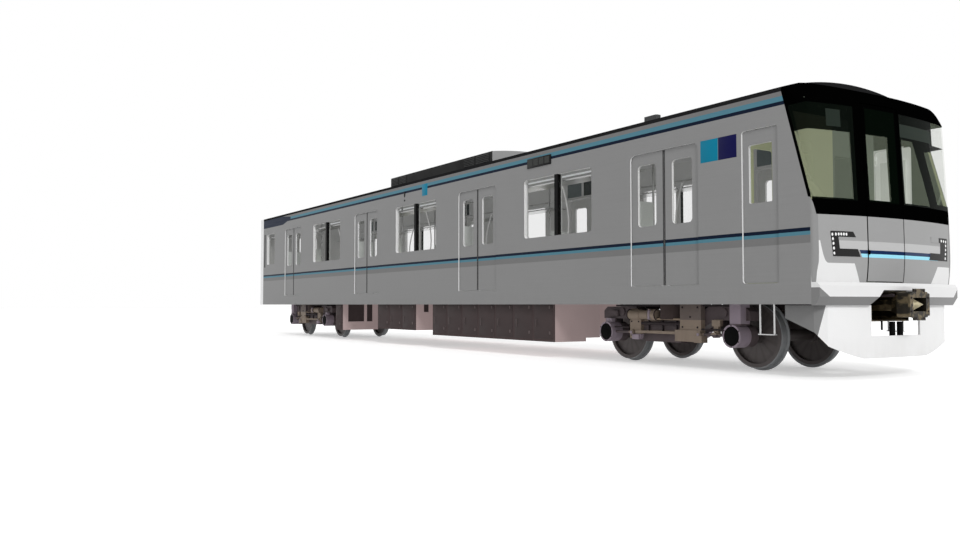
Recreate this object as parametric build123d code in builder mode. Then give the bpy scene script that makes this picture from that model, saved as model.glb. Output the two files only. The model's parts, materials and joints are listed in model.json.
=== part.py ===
from build123d import *
import os

os.makedirs("parts", exist_ok=True)

# A four-door metro car with a driving cab, in millimetres.
# +X is towards the cab, +Y is the car's left side and Z is 0 at the lowest point of the wheel flanges.

# Body
half_width = 1390
wall_t = 68
lining_t = 20
side_foot_z = 873
cant_z = 3387
gutter_z = 3440
roof_top_z = 3640
rear_x = -9770
end_wall_t = 40
floor_top_z = 1125
floor_t = 85

# Cab front: a bowed face with a raked profile, turned about an upright axis
bow_radius = 6410
nose_x = 9778
nose_full_z = 1560
nose_foot_z = 1020
nose_foot_setback = 44
nose_foot_bow = 8
nose_waist_z = 1900
nose_waist_setback = 6
brow_z = 3390
brow_setback = 82
brow_radius = 160
shoulder_high = (9600, 1080, 3375)
shoulder_low = (9560, 1340, 3225)
cab_roof_x = 9050
cab_shell_x = 9150
cab_lap = 750
cab_ceiling_z = 3260
corner_radius = 40
seam_x = 9587
mask_low_z = 1900
mask_rake_low_z = 2010
mask_rake_top_x = 9209

# Passenger doorways, four a side
door_pitch = 4820
door_width = 1300
door_head_z = 2995
door_corner_r = 90
leaf_t = 36
leaf_play = 6
leaf_seam = 3
leaf_lap = 45
leaf_rise = 20
leaf_travel = 640
leaf_window_w = 367
leaf_window_offset = 336
leaf_window_low_z = 1960
leaf_window_high_z = 2830
pocket_depth = 48
pocket_end_play = 10
shoe_l = 60
shoe_w = 20

# Windows
window_w = 1775
window_low_z = 1980
window_high_z = 2960
window_corner_r = 60
mullion_w = 90
end_window_x = -9105
end_window_w = 670
end_window_low_z = 2060
glass_t = 12
glass_setback = 46
leaf_pane_t = 8
pane_seat = 0.3

# Cab side doors
cab_door_rear_x = 8604
cab_door_w = 546
cab_door_head_z = 3005
cab_door_t = 35
cab_door_setback = 20
cab_door_corner_r = 40
cab_door_play = 6
hinge_x = 20
hinge_in = 70
hinge_r = 12
hinge_h = 60
hinge_zs = (1350, 1960, 2880)
cab_window_w = 350
cab_window_corner_r = 20
cab_window_low_z = 2103
cab_window_high_z = 2820

# Emergency door in the nose
nose_door_y = -220
nose_door_w = 680
nose_door_low_z = 1143
nose_door_high_z = 3250
nose_door_t = 50
nose_door_play = 12
nose_door_stop = 15
nose_window_low_z = 2080
nose_window_high_z = 3200
nose_window_w = 560
nose_hinge_x = 9770
nose_hinge_y = -570
nose_hinge_z = 1560
nose_hinge_lean = 0.03
nose_hinge_zs = (1480, 1960, 2440)
nose_hinge_r = 9
nose_hinge_h = 50
nose_hinge_arm_h = 40
nose_reach = 700

# Windscreens
screen_low_z = 2080
screen_high_z = 3200
screen_frame = 40
screen_inner_right_y = -700
screen_inner_left_y = 160
screen_t = 20

# Bulkhead between cab and saloon
bulkhead_x = 8565
bulkhead_t = 35
bulkhead_door_y = -320
bulkhead_door_w = 600
bulkhead_door_h = 1900
bulkhead_stop = 20
bulkhead_stop_t = 8
bulkhead_hinge_r = 7
bulkhead_hinge_out = 5
bulkhead_hinge_zs = (1350, 2750)
bulkhead_window_z = 2400
bulkhead_window_w = 380
bulkhead_window_h = 850
bulkhead_window_r = 40

# Driver's desk, from its front edge to the windscreen
desk_edge_x = 9250
desk_back_x = 9500
desk_foot_x = 9330
desk_right_y = 200
desk_left_y = 1280
desk_edge_h = 700
desk_back_h = 780
desk_apron_h = 600

# Driver's seat
driver_x = 8900
driver_y = 550
driver_w = 400
driver_base_w = 160
driver_base_h = 400
driver_cushion_l = 440
driver_cushion_t = 80
driver_cushion_x = 20
driver_back_x = -170
driver_back_t = 70
driver_corner_r = 30
driver_back_h = 480

# Saloon seats, racks and rails
seat_depth = 430
seat_low_h = 360
seat_front_h = 430
seat_heel_h = 400
seat_back_h = 820
seat_heel_y = 100
seat_back_t = 50
seat_base_w = 280
seat_doorway_gap = 120
seat_end_t = 24
seat_end_w = 440
seat_end_h = 1250
rack_h = 1720
rack_w = 360
rack_t = 20
rack_end_gap = 50
pole_r = 17
rail_r = 13
rail_h = 1830
rail_overhang = 200

# Rear end and its sliding door
gangway_w = 800
gangway_h = 1950
gangway_l = 200
gangway_side_t = 120
gangway_top_t = 110
gangway_foot_t = 60
gangway_r = 60
guard_l = 250
guard_w = 120
guard_foot_l = 260
guard_foot_w = 160
guard_foot_top_z = 1180
end_door_window_w = 560
end_door_window_h = 1300
end_door_window_mid_h = 1150
end_door_t = 30
end_door_w = 880
end_door_play = 10

# Wheelsets and bogies
bogie_pitch = 13800
wheelbase = 2470
wheel_r = 430
flange_h = 30
flange_tip = 8
flange_fillet_y = 12
wheel_back_y = 495
wheel_w = 125
flange_w = 30
rim_t = 60
hub_r = 105
web_t = 28
web_in_y = 45
web_hub_y = 60
hub_proud = 30
hub_back = 15
axle_r = 80
journal_r = 60
journal_end_y = 1030
box_r = 150
box_inner_y = 730
box_outer_y = 1080
box_play = 0.5
box_cap_r = 128
box_cap_t = 12
beam_y = 860
beam_w = 170
beam_low_z = 480
beam_high_z = 660
beam_end_low_z = 660
beam_end_high_z = 840
beam_reach = 1430
beam_low_bends = (850, 450)
beam_high_bends = (720, 480)
beam_nose_l = 80
beam_nose_h = 60
transom_l = 420
transom_h = 150
spring_post_r = 70
spring_post_seat = 40
air_spring_r = 200
air_spring_top_z = 940
pin_r = 70
pin_play = 0.5
pin_foot_rise = 60

# Underframe
bolster_l = 560
bearer_h = 90
bearer_w = 80
bearer_pitch = 1100
bearers = 9
draft_sill_l = 900
draft_sill_w = 700
draft_sill_h = 60

# Couplers
coupler_face_x = 10030
coupler_z = 870
coupler_head_w = 330
coupler_head_h = 300
coupler_head_l = 190
coupler_corner_r = 30
coupler_lip = 18
coupler_lip_t = 24
coupler_cup_w = 260
coupler_cup_h = 160
coupler_cup_l = 130
coupler_cone_base = (120, 140)
coupler_cone_tip = (30, 60)
coupler_cone_ys = (40, 60)
shank_w = 170
shank_h = 150
shank_l = 900
shank_corner_r = 40
shank_flare_l = 120
shank_flare_lap = (40, 60)
pocket_half_w = 450
pocket_low_z = 667
pocket_high_z = 1038
pocket_l = 480
pocket_t = 15

# Bumper and skirt
bumper_out = 72
bumper_top_z = 1125
bumper_low_z = 960
bumper_heel_z = 862
bumper_top_flat = (60, 30)
bumper_edge_h = 40
bumper_heel_in = 60
bumper_back = 150
bumper_corner_r = 80
bumper_gap_top_z = 1040
bumper_gap_top_half = 400
bumper_gap_low_half = 570
skirt_in = 30
skirt_t = 30
skirt_low_z = 240
skirt_rear_x = 9130
skirt_side_in = 120
skirt_bow = 105
skirt_bow_half = 1180
skirt_corner_back = 220
skirt_heel = ((60, 240), (140, 405), (248, 550))
skirt_tail_z = 720
skirt_mouth_half = 490
skirt_mouth_low_z = 500

# Lamp housings: a corner bracket open towards the middle
lamp_proud = 4
lamp_t = 14
lamp_corner_r = 12
lamp_outline = (
    (1150, 1713), (805, 1713), (765, 1650), (1035, 1650), (1018, 1512), (738, 1512), (696, 1424), (1115, 1424),
)

# Foot steps below the cab doors
step_x = 8895
step_w = 210
step_z = 515
step_in = 90
step_rod_r = 12
step_tread_t = 12

# Roof equipment
air_con_x = 30
air_con_l = 4300
air_con_half_w = 900
air_con_side_z = 3780
air_con_top_z = 3840
air_con_seat = 90
antenna_x = 5573
antenna_l = 300
antenna_w = 120
antenna_r = 40
antenna_seat = 20
antenna_top_z = 3920

# Brackets on the outer faces of the bogie's side beams, from its centre towards the car's end
bogie_blocks = (
    # low x, high x, inner y, outer y, low z, high z
    (270, 660, 945, 1025, 480, 872),
    (190, 660, 945, 1045, 362, 520),
    (560, 700, 945, 1060, 352, 450),
    (-780, -545, 945, 1000, 375, 700),
    (-700, -560, 945, 1035, 360, 430),
    (-630, 190, 955, 1035, 455, 492),
    (-540, 200, 800, 935, 335, 482),
    (830, 975, 945, 1000, 580, 662),
    (860, 940, 945, 1000, 480, 600),
    (1180, 1360, 870, 1045, 600, 872),
    (-1300, -1170, 870, 1020, 600, 665),
    (-1240, -1060, 930, 1000, 700, 780),
)
bogie_tubes = (
    # low x, high x, y, z, radius
    (-800, -350, 985, 722, 68),
    (-350, -210, 985, 722, 84),
    (-785, -545, 985, 722, 74),
    (600, 1130, 1000, 465, 20),
    (-1130, -700, 1000, 465, 20),
)
bogie_bosses = (
    # x, z, radius, inner y, outer y
    (630, 465, 42, 945, 1050),
    (905, 465, 38, 945, 1045),
    (1000, 760, 60, 945, 965),
    (-1000, 760, 60, 945, 965),
    (-700, 465, 38, 945, 1045),
)

# Equipment cases under the floor
case_rows = (
    # low x, high x, low y, high y, low z
    (600, 4640, -1300, -640, 262),
    (600, 4640, -640, -340, 320),
    (-1950, -150, -1300, -880, 335),
    (-4374, -3978, -1300, -330, 250),
    (-4200, 100, 500, 1300, 300),
    (700, 4300, 350, 1280, 330),
)
case_hatches = (
    # face x, low y, high y, low z, depth
    (-3978, -1139, -713, 452, 60),
    (-3978, -635, -488, 452, 60),
    (-150, -1095, -985, 714, 80),
)
hatch_top_gap = 60

axle_z = wheel_r + flange_h
roof_arc_mid = (0, roof_top_z)
inner_face_y = half_width - wall_t
hinge_y = half_width - hinge_in
lining_face_y = inner_face_y - lining_t
door_xs = [door_pitch * n for n in (-1.5, -0.5, 0.5, 1.5)]
window_xs = [door_pitch * n for n in (-1, 0, 1)]
sides = (("right", -1), ("left", 1))
bogies = (("rear", -1), ("front", 1))
bow_x = nose_x - bow_radius
bow_axis = Axis((bow_x, 0, 0), (0, 0, 1))
bow_plane = Plane(origin=(bow_x, 0, 0), x_dir=(-1, 0, 0), z_dir=(0, 1, 0))
cab_door_x = cab_door_rear_x + cab_door_w / 2
floor_low_z = floor_top_z - floor_t
cab_door_in_y = half_width - cab_door_setback - cab_door_t


def save(part, name):
    """Label a finished piece and write it."""
    part.label = name
    export_step(part, f"parts/{name}.step")


def plane_at(y, x=0, z=0):
    """Upright plane along the car, whose local x and y are the car's X and Z."""
    return Plane(origin=(x, y, z), x_dir=(1, 0, 0), z_dir=(0, -1, 0))


def cab_form(inset, ceiling_z, floor_z):
    """Outer form of the cab, drawn in by inset: the raked front turned about its axis, cut to the body."""
    top = min(roof_top_z, ceiling_z)
    full_r = bow_radius - inset
    waist_r = full_r - nose_waist_setback
    brow_r = full_r - brow_setback
    low_z = min(nose_foot_z, floor_z)
    with BuildPart() as form:
        with BuildSketch(bow_plane):
            with BuildLine():
                if ceiling_z < brow_z:
                    top_r = waist_r + (brow_r - waist_r) * (top - nose_waist_z) / (brow_z - nose_waist_z)
                    Polyline((waist_r, nose_waist_z), (top_r, top), (0, top))
                else:
                    Polyline((waist_r, nose_waist_z), (brow_r, brow_z), (cab_roof_x - bow_x, top), (0, top))
                Polyline((0, top), (0, low_z), (full_r - nose_foot_setback, low_z))
                ThreePointArc((full_r - nose_foot_setback, low_z),
                              (full_r - nose_foot_bow, (low_z + nose_full_z) / 2), (full_r, nose_full_z))
                Line((full_r, nose_full_z), (waist_r, nose_waist_z))
            face = make_face()
            if ceiling_z >= brow_z:
                fillet([v for v in face.vertices() if abs(v.Y - brow_z) < 1], brow_radius)
        revolve(axis=bow_axis, revolution_arc=360)
        with BuildSketch(Plane.XY.offset(floor_z)):
            with Locations(((cab_shell_x + nose_x) / 2, 0)):
                Rectangle(nose_x - cab_shell_x + 2 * cab_lap, 2 * (half_width - inset))
        extrude(amount=roof_top_z + 200 - floor_z, mode=Mode.INTERSECT)
    return form.part


def roof_section():
    """Shallow arched section of the roof, from the cant rails up."""
    with BuildSketch() as section:
        with BuildLine():
            ThreePointArc((-half_width, gutter_z), roof_arc_mid, (half_width, gutter_z))
            Polyline((half_width, gutter_z), (half_width, cant_z), (-half_width, cant_z),
                     (-half_width, gutter_z))
        make_face()
    return section.sketch


def mask_region():
    """The space ahead of the raked seam, in which the black mask lies."""
    with BuildPart() as region:
        with BuildSketch(plane_at(half_width + 100)):
            with BuildLine():
                Polyline((seam_x, mask_low_z), (seam_x, mask_rake_low_z), (mask_rake_top_x, cant_z),
                         (mask_rake_top_x, roof_top_z + 100), (nose_x + 200, roof_top_z + 100),
                         (nose_x + 200, mask_low_z), close=True)
            make_face()
        extrude(amount=2 * half_width + 200)
    return region.part


def wall_openings():
    """Window openings of one side as a sketch, two panes a bay and one at the rear."""
    with BuildSketch() as holes:
        with Locations([(x, (window_low_z + window_high_z) / 2) for x in window_xs]):
            RectangleRounded(window_w, window_high_z - window_low_z, window_corner_r)
            Rectangle(mullion_w, window_high_z - window_low_z, mode=Mode.SUBTRACT)
        with Locations((end_window_x, (end_window_low_z + window_high_z) / 2)):
            RectangleRounded(end_window_w, window_high_z - end_window_low_z, window_corner_r)
    return holes.sketch


def doorways():
    """Doorway openings of one side as a sketch, with rounded top corners."""
    with BuildSketch() as holes:
        with Locations([(x, (floor_top_z + door_head_z) / 2) for x in door_xs]):
            door = Rectangle(door_width, door_head_z - floor_top_z)
        fillet(holes.vertices().group_by(Axis.Y)[-1], door_corner_r)
    return holes.sketch


def cab_doorway(play=0):
    """Cab side door's opening, or with play its leaf, as a sketch."""
    with BuildSketch() as hole:
        with Locations((cab_door_x, (floor_top_z + cab_door_head_z) / 2)):
            RectangleRounded(cab_door_w - 2 * play, cab_door_head_z - floor_top_z - 2 * play,
                             cab_door_corner_r)
    return hole.sketch


cab_outer = cab_form(0, roof_top_z + 100, floor_low_z)
cab_outer = cab_outer.fillet(corner_radius, [
    e for e in cab_outer.edges()
    if abs(abs(e.center().Y) - half_width) < 1 and e.center().X > seam_x and e.center().Z < brow_z])
with BuildPart() as roof_line:
    with BuildSketch(Plane.YZ.offset(cab_shell_x - cab_lap)):
        with BuildLine():
            ThreePointArc((-half_width, gutter_z), roof_arc_mid, (half_width, gutter_z))
            Polyline((half_width, gutter_z), (half_width, floor_low_z - 50), (-half_width, floor_low_z - 50),
                     (-half_width, gutter_z))
        make_face()
    extrude(amount=nose_x - cab_shell_x + 2 * cab_lap)
cab_outer = cab_outer & roof_line.part
for sign in (-1, 1):
    high, low, rear = [Vector(x, sign * y, z) for x, y, z in (
        shoulder_high, shoulder_low, (mask_rake_top_x, half_width, gutter_z))]
    slope = (low - high).cross(rear - high)
    cutter = Plane(origin=high, z_dir=slope if slope.Z > 0 else -slope)
    cab_outer -= cutter * Pos(0, 0, 500) * Box(2000, 2000, 1000)
cab_inner = cab_form(wall_t, cab_ceiling_z, floor_top_z)
openings = wall_openings()
doors = doorways()
cab_door_hole = cab_doorway()
cab_door_leaf = cab_doorway(cab_door_play)
mask_space = mask_region()

# Side walls: flat panels with door pockets sunk in from inside
for side, sign in sides:
    outer_plane = plane_at(sign * half_width)
    into = sign * wall_t
    with BuildPart() as wall:
        with BuildSketch(outer_plane):
            with BuildLine():
                Polyline((rear_x, side_foot_z), (seam_x, side_foot_z), (seam_x, mask_rake_low_z),
                         (mask_rake_top_x, cant_z), (rear_x, cant_z), close=True)
            make_face()
        extrude(amount=into)
        with BuildSketch(outer_plane):
            add(openings)
            add(doors)
            add(cab_door_hole)
        extrude(amount=into, mode=Mode.SUBTRACT)
        with BuildSketch(plane_at(sign * inner_face_y)):
            with Locations([(x, (floor_top_z + door_head_z + leaf_rise + leaf_play) / 2) for x in door_xs]):
                Rectangle(2 * (door_width / 2 + leaf_lap + leaf_travel + pocket_end_play),
                          door_head_z + leaf_rise + leaf_play - floor_top_z)
        extrude(amount=-sign * pocket_depth, mode=Mode.SUBTRACT)
        for z in hinge_zs:
            with BuildSketch(Plane.XY.offset(z - pane_seat)):
                with Locations((cab_door_rear_x + hinge_x, sign * hinge_y)):
                    Circle(hinge_r)
                with Locations((cab_door_rear_x + hinge_x / 2, sign * hinge_y)):
                    Rectangle(hinge_x, hinge_r)
            extrude(amount=-hinge_h)
    save(wall.part, f"side_wall_{side}")

    # Door leaves with their panes
    for number, door_x in enumerate(door_xs, start=1):
        for end, way in (("rear", -1), ("front", 1)):
            leaf_w = door_width / 2 + leaf_lap - leaf_seam
            leaf_mid = door_x + way * (leaf_seam + leaf_w / 2)
            leaf_plane = plane_at(sign * (inner_face_y + leaf_play))
            leaf_low_z = floor_top_z + leaf_play
            leaf_high_z = door_head_z + leaf_rise
            with BuildPart() as leaf:
                with BuildSketch(leaf_plane):
                    with Locations((leaf_mid, (leaf_low_z + leaf_high_z) / 2)):
                        Rectangle(leaf_w, leaf_high_z - leaf_low_z)
                    with Locations((door_x + way * leaf_window_offset,
                                    (leaf_window_low_z + leaf_window_high_z) / 2)):
                        RectangleRounded(leaf_window_w, leaf_window_high_z - leaf_window_low_z,
                                         window_corner_r, mode=Mode.SUBTRACT)
                extrude(amount=-sign * leaf_t)
                with BuildSketch(leaf_plane.offset(-sign * (leaf_t - leaf_pane_t) / 2)):
                    with Locations((door_x + way * leaf_window_offset,
                                    (leaf_window_low_z + leaf_window_high_z) / 2)):
                        RectangleRounded(leaf_window_w - 2 * pane_seat,
                                         leaf_window_high_z - leaf_window_low_z - 2 * pane_seat,
                                         window_corner_r)
                extrude(amount=-sign * leaf_pane_t)
                with BuildSketch(Plane.XY.offset(floor_top_z + pane_seat)):
                    with Locations([(leaf_mid + n * (leaf_w / 2 - shoe_l), sign * (inner_face_y + leaf_play
                                     + leaf_t / 2)) for n in (-1, 1)]):
                        Rectangle(shoe_l, shoe_w)
                extrude(amount=leaf_play - pane_seat)
            save(leaf.part, f"door_leaf_{side}_{number}_{end}")

    # Cab side door, a little behind the wall's face
    with BuildPart() as cab_door:
        door_plane = outer_plane.offset(sign * cab_door_setback)
        with BuildSketch(door_plane):
            add(cab_door_leaf)
            with Locations((cab_door_x, (cab_window_low_z + cab_window_high_z) / 2)):
                RectangleRounded(cab_window_w, cab_window_high_z - cab_window_low_z, cab_window_corner_r,
                                 mode=Mode.SUBTRACT)
        extrude(amount=sign * cab_door_t)
        with BuildSketch(door_plane.offset(sign * (cab_door_t - leaf_pane_t) / 2)):
            with Locations((cab_door_x, (cab_window_low_z + cab_window_high_z) / 2)):
                RectangleRounded(cab_window_w - 2 * pane_seat,
                                 cab_window_high_z - cab_window_low_z - 2 * pane_seat,
                                 cab_window_corner_r)
        extrude(amount=sign * leaf_pane_t)
        for z in hinge_zs:
            with BuildSketch(Plane.XY.offset(z)):
                with Locations((cab_door_rear_x + hinge_x, sign * hinge_y)):
                    Circle(hinge_r)
                with Locations((cab_door_rear_x + hinge_x, sign * (hinge_y + cab_door_in_y) / 2)):
                    Rectangle(2 * hinge_r, cab_door_in_y - hinge_y)
            extrude(amount=hinge_h)
    save(cab_door.part, f"cab_door_{side}")

# Inner linings, which close the door pockets
with BuildPart() as linings:
    for side, sign in sides:
        with BuildSketch(plane_at(sign * inner_face_y)):
            low_x = rear_x + end_wall_t
            with Locations(((low_x + bulkhead_x) / 2, (floor_top_z + cant_z) / 2)):
                Rectangle(bulkhead_x - low_x, cant_z - floor_top_z)
            add(openings, mode=Mode.SUBTRACT)
            add(doors, mode=Mode.SUBTRACT)
        extrude(amount=sign * lining_t)
save(linings.part, "side_linings")

# Window glass of both sides
with BuildPart() as side_glass:
    for side, sign in sides:
        with BuildSketch(plane_at(sign * (half_width - glass_setback))):
            add(openings)
        extrude(amount=sign * glass_t)
save(side_glass.part, "side_glass")

# Roof and ceiling in one arched slab, from the rear end to the mask
with BuildPart() as roof:
    with BuildSketch(Plane.YZ.offset(rear_x)):
        add(roof_section())
    extrude(amount=mask_rake_top_x - rear_x)
save(roof.part, "roof")

# Floor
with BuildPart() as floor:
    with BuildSketch(Plane.XY.offset(floor_low_z)):
        with Locations(((rear_x + end_wall_t + seam_x) / 2, 0)):
            Rectangle(seam_x - rear_x - end_wall_t, 2 * inner_face_y)
    extrude(amount=floor_t)
save(floor.part, "floor")

# Rear end wall with its passage, and an inner lining that makes the sliding door's pocket
with BuildPart() as end_wall:
    with BuildSketch(Plane.YZ.offset(rear_x)):
        with Locations((0, (floor_low_z + cant_z) / 2)):
            Rectangle(2 * inner_face_y, cant_z - floor_low_z)
        with Locations((0, floor_top_z + gangway_h / 2)):
            Rectangle(gangway_w, gangway_h, mode=Mode.SUBTRACT)
    extrude(amount=end_wall_t)
save(end_wall.part, "end_wall")

end_pocket_x = rear_x + end_wall_t
end_lining_x = end_pocket_x + end_door_t + 2 * end_door_play
with BuildPart() as end_lining:
    with BuildSketch(Plane.YZ.offset(end_lining_x)):
        with Locations((0, (floor_top_z + cant_z) / 2)):
            Rectangle(2 * lining_face_y, cant_z - floor_top_z)
        with Locations((0, floor_top_z + gangway_h / 2)):
            Rectangle(gangway_w, gangway_h, mode=Mode.SUBTRACT)
    extrude(amount=lining_t)
save(end_lining.part, "end_lining")

with BuildPart() as end_door:
    with BuildSketch(Plane.YZ.offset(end_pocket_x + end_door_play)):
        end_door_h = gangway_h + leaf_rise
        with Locations((0, floor_top_z + leaf_play + end_door_h / 2)):
            Rectangle(end_door_w, end_door_h)
        with Locations((0, floor_top_z + end_door_window_mid_h)):
            RectangleRounded(end_door_window_w, end_door_window_h, window_corner_r, mode=Mode.SUBTRACT)
    extrude(amount=end_door_t)
    with BuildSketch(Plane.XY.offset(floor_top_z + pane_seat)):
        with Locations([(end_pocket_x + end_door_play + end_door_t / 2, n * (end_door_w / 2 - shoe_l))
                        for n in (-1, 1)]):
            Rectangle(shoe_w, shoe_l)
    extrude(amount=leaf_play - pane_seat)
save(end_door.part, "end_door")

# Gangway frame and the inter-car guard posts behind the end wall
with BuildPart() as gangway:
    with BuildSketch(Plane.YZ.offset(rear_x)):
        with Locations((0, floor_top_z + (gangway_h + gangway_top_t - gangway_foot_t) / 2)):
            RectangleRounded(gangway_w + 2 * gangway_side_t, gangway_h + gangway_top_t + gangway_foot_t,
                             gangway_r)
        with Locations((0, floor_top_z + gangway_h / 2)):
            Rectangle(gangway_w, gangway_h, mode=Mode.SUBTRACT)
    extrude(amount=-gangway_l)
save(gangway.part, "gangway")

with BuildPart() as guards:
    for side, sign in sides:
        with BuildSketch(Plane.XY.offset(guard_foot_top_z)):
            with Locations((rear_x - guard_l / 2, sign * (half_width - guard_w / 2))):
                Rectangle(guard_l, guard_w)
        extrude(amount=gutter_z - guard_foot_top_z)
        with BuildSketch(Plane.XY.offset(side_foot_z)):
            with Locations((rear_x - guard_foot_l / 2, sign * (half_width - guard_foot_w / 2))):
                Rectangle(guard_foot_l, guard_foot_w)
        extrude(amount=guard_foot_top_z - side_foot_z)
save(guards.part, "guard_posts")

# Black mask round the windscreens, cut from the cab's shell
cab_shell = cab_outer - cab_inner
mask_solid = cab_shell & mask_space
door_low_y = nose_door_y - nose_door_w / 2
door_high_y = nose_door_y + nose_door_w / 2


def nose_prism(low_y, high_y, low_z, high_z):
    """Block through the cab's front between two widths and two heights."""
    return Pos(nose_x, (low_y + high_y) / 2, (low_z + high_z) / 2) * Box(
        2 * nose_reach, high_y - low_y, high_z - low_z)


def screen_prism(frame, low_y, high_y):
    """Block round a windscreen that wraps into the side, kept ahead of the raked seam by a frame."""
    with BuildPart() as prism:
        with BuildSketch(plane_at(high_y)):
            with BuildLine():
                rake = (seam_x - mask_rake_top_x) / (cant_z - mask_rake_low_z)
                low_x = seam_x + frame + (mask_rake_low_z - screen_low_z) * rake
                high_x = seam_x + frame - (screen_high_z - mask_rake_low_z) * rake
                Polyline((low_x, screen_low_z), (high_x, screen_high_z), (nose_x + 100, screen_high_z),
                         (nose_x + 100, screen_low_z), close=True)
            make_face()
        extrude(amount=high_y - low_y)
    return prism.part


screen_right = screen_prism(screen_frame, -half_width - 50, screen_inner_right_y)
screen_left = screen_prism(screen_frame, screen_inner_left_y, half_width + 50)
door_gap = nose_prism(door_low_y - nose_door_play, door_high_y + nose_door_play,
                      nose_door_low_z - nose_door_play, nose_door_high_z + nose_door_play)
door_recess = door_gap - cab_form(nose_door_t + pane_seat, roof_top_z + 100, floor_low_z)
door_way = nose_prism(door_low_y + nose_door_stop, door_high_y - nose_door_stop,
                      nose_door_low_z - nose_door_play, nose_door_high_z - nose_door_stop)
mask_part = mask_solid - screen_right - screen_left - door_recess - door_way
save(mask_part, "cab_mask")

# Windscreens, flush with the mask
screen_shell = cab_outer - cab_form(screen_t, roof_top_z + 100, floor_low_z)
screens = (screen_shell & screen_right) + (screen_shell & screen_left)
save(screens, "cab_glass")

# Lower front panel
front_space = Pos(seam_x + nose_reach, 0, (floor_low_z + mask_low_z) / 2) * Box(
    2 * nose_reach, 3 * half_width, mask_low_z - floor_low_z)
with BuildPart() as lamp_space:
    for side, sign in sides:
        with BuildSketch(Plane.YZ.offset(nose_x - nose_reach)):
            with BuildLine():
                Polyline([(sign * y, z) for y, z in lamp_outline], close=True)
            face = make_face()
            fillet(face.vertices().group_by(Axis.X)[-1 if sign > 0 else 0], lamp_corner_r)
        extrude(amount=2 * nose_reach)
lamp_bed = cab_form(lamp_t, roof_top_z + 100, floor_low_z)
lamp_face = cab_form(-lamp_proud, roof_top_z + 100, floor_low_z)
front_part = (cab_shell & front_space) - door_recess - door_way - (lamp_space.part - lamp_bed)
save(front_part, "cab_front")
save((lamp_face - lamp_bed) & lamp_space.part, "lamp_housings")

# Emergency door: lower panel, upper panel and its window
door_inner = cab_form(nose_door_t, roof_top_z + 100, floor_low_z)
nose_door = ((cab_outer - door_inner)
             & nose_prism(door_low_y, door_high_y, nose_door_low_z, nose_door_high_z))
nose_window = nose_prism(nose_door_y - nose_window_w / 2, nose_door_y + nose_window_w / 2,
                         nose_window_low_z, nose_window_high_z)
nose_pane = nose_prism(nose_door_y - nose_window_w / 2 + pane_seat, nose_door_y + nose_window_w / 2 - pane_seat,
                       nose_window_low_z + pane_seat, nose_window_high_z - pane_seat)
nose_door = (nose_door - nose_window) + (screen_shell & nose_pane)


def nose_knuckle(z):
    """Hinge knuckle on the leaning axis of the emergency door, with the arm that carries the door."""
    x = nose_hinge_x + nose_hinge_lean * (nose_hinge_z - z)
    barrel = Plane(origin=(x, nose_hinge_y, z), z_dir=(nose_hinge_lean, 0, -1)) * Cylinder(
        nose_hinge_r, nose_hinge_h)
    arm = Pos(x - 2 * nose_hinge_r, nose_hinge_y + 2.6 * nose_hinge_r, z) * Box(
        5 * nose_hinge_r, 2 * nose_hinge_r, nose_hinge_arm_h)
    neck = Pos(x, nose_hinge_y + 1.4 * nose_hinge_r, z) * Box(
        nose_hinge_r, 2.8 * nose_hinge_r, nose_hinge_arm_h)
    return barrel + neck + (arm - door_inner)


for z in nose_hinge_zs:
    nose_door += nose_knuckle(z)
save(nose_door, "nose_door")

# Bumper below the front
with BuildPart() as bumper:
    with BuildSketch(Plane.XZ):
        with BuildLine():
            out_x = nose_x + bumper_out
            Polyline((nose_x - bumper_top_flat[0], bumper_top_z), (out_x - bumper_top_flat[1], bumper_top_z),
                     (out_x, bumper_top_z - bumper_edge_h), (out_x, bumper_low_z),
                     (out_x - bumper_heel_in, bumper_heel_z), (nose_x - bumper_back, bumper_heel_z),
                     (nose_x - bumper_back, floor_low_z), (nose_x - bumper_top_flat[0], floor_low_z),
                     close=True)
        make_face()
    revolve(axis=bow_axis, revolution_arc=360)
    with BuildSketch(Plane.XY.offset(bumper_heel_z)):
        with Locations((out_x - nose_reach / 2, 0)):
            RectangleRounded(nose_reach, 2 * half_width, bumper_corner_r)
    extrude(amount=bumper_top_z - bumper_heel_z, mode=Mode.INTERSECT)
    with BuildSketch(Plane.YZ.offset(nose_x - nose_reach)):
        with BuildLine():
            Polyline((-bumper_gap_top_half, bumper_gap_top_z), (bumper_gap_top_half, bumper_gap_top_z),
                     (bumper_gap_low_half, bumper_heel_z), (-bumper_gap_low_half, bumper_heel_z), close=True)
        make_face()
    extrude(amount=2 * nose_reach, mode=Mode.SUBTRACT)
bumper_space = Pos(seam_x + nose_reach, 0, bumper_low_z) * Box(2 * nose_reach, 3 * half_width, nose_reach)
save((bumper.part & bumper_space) - cab_outer, "bumper")

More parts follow.
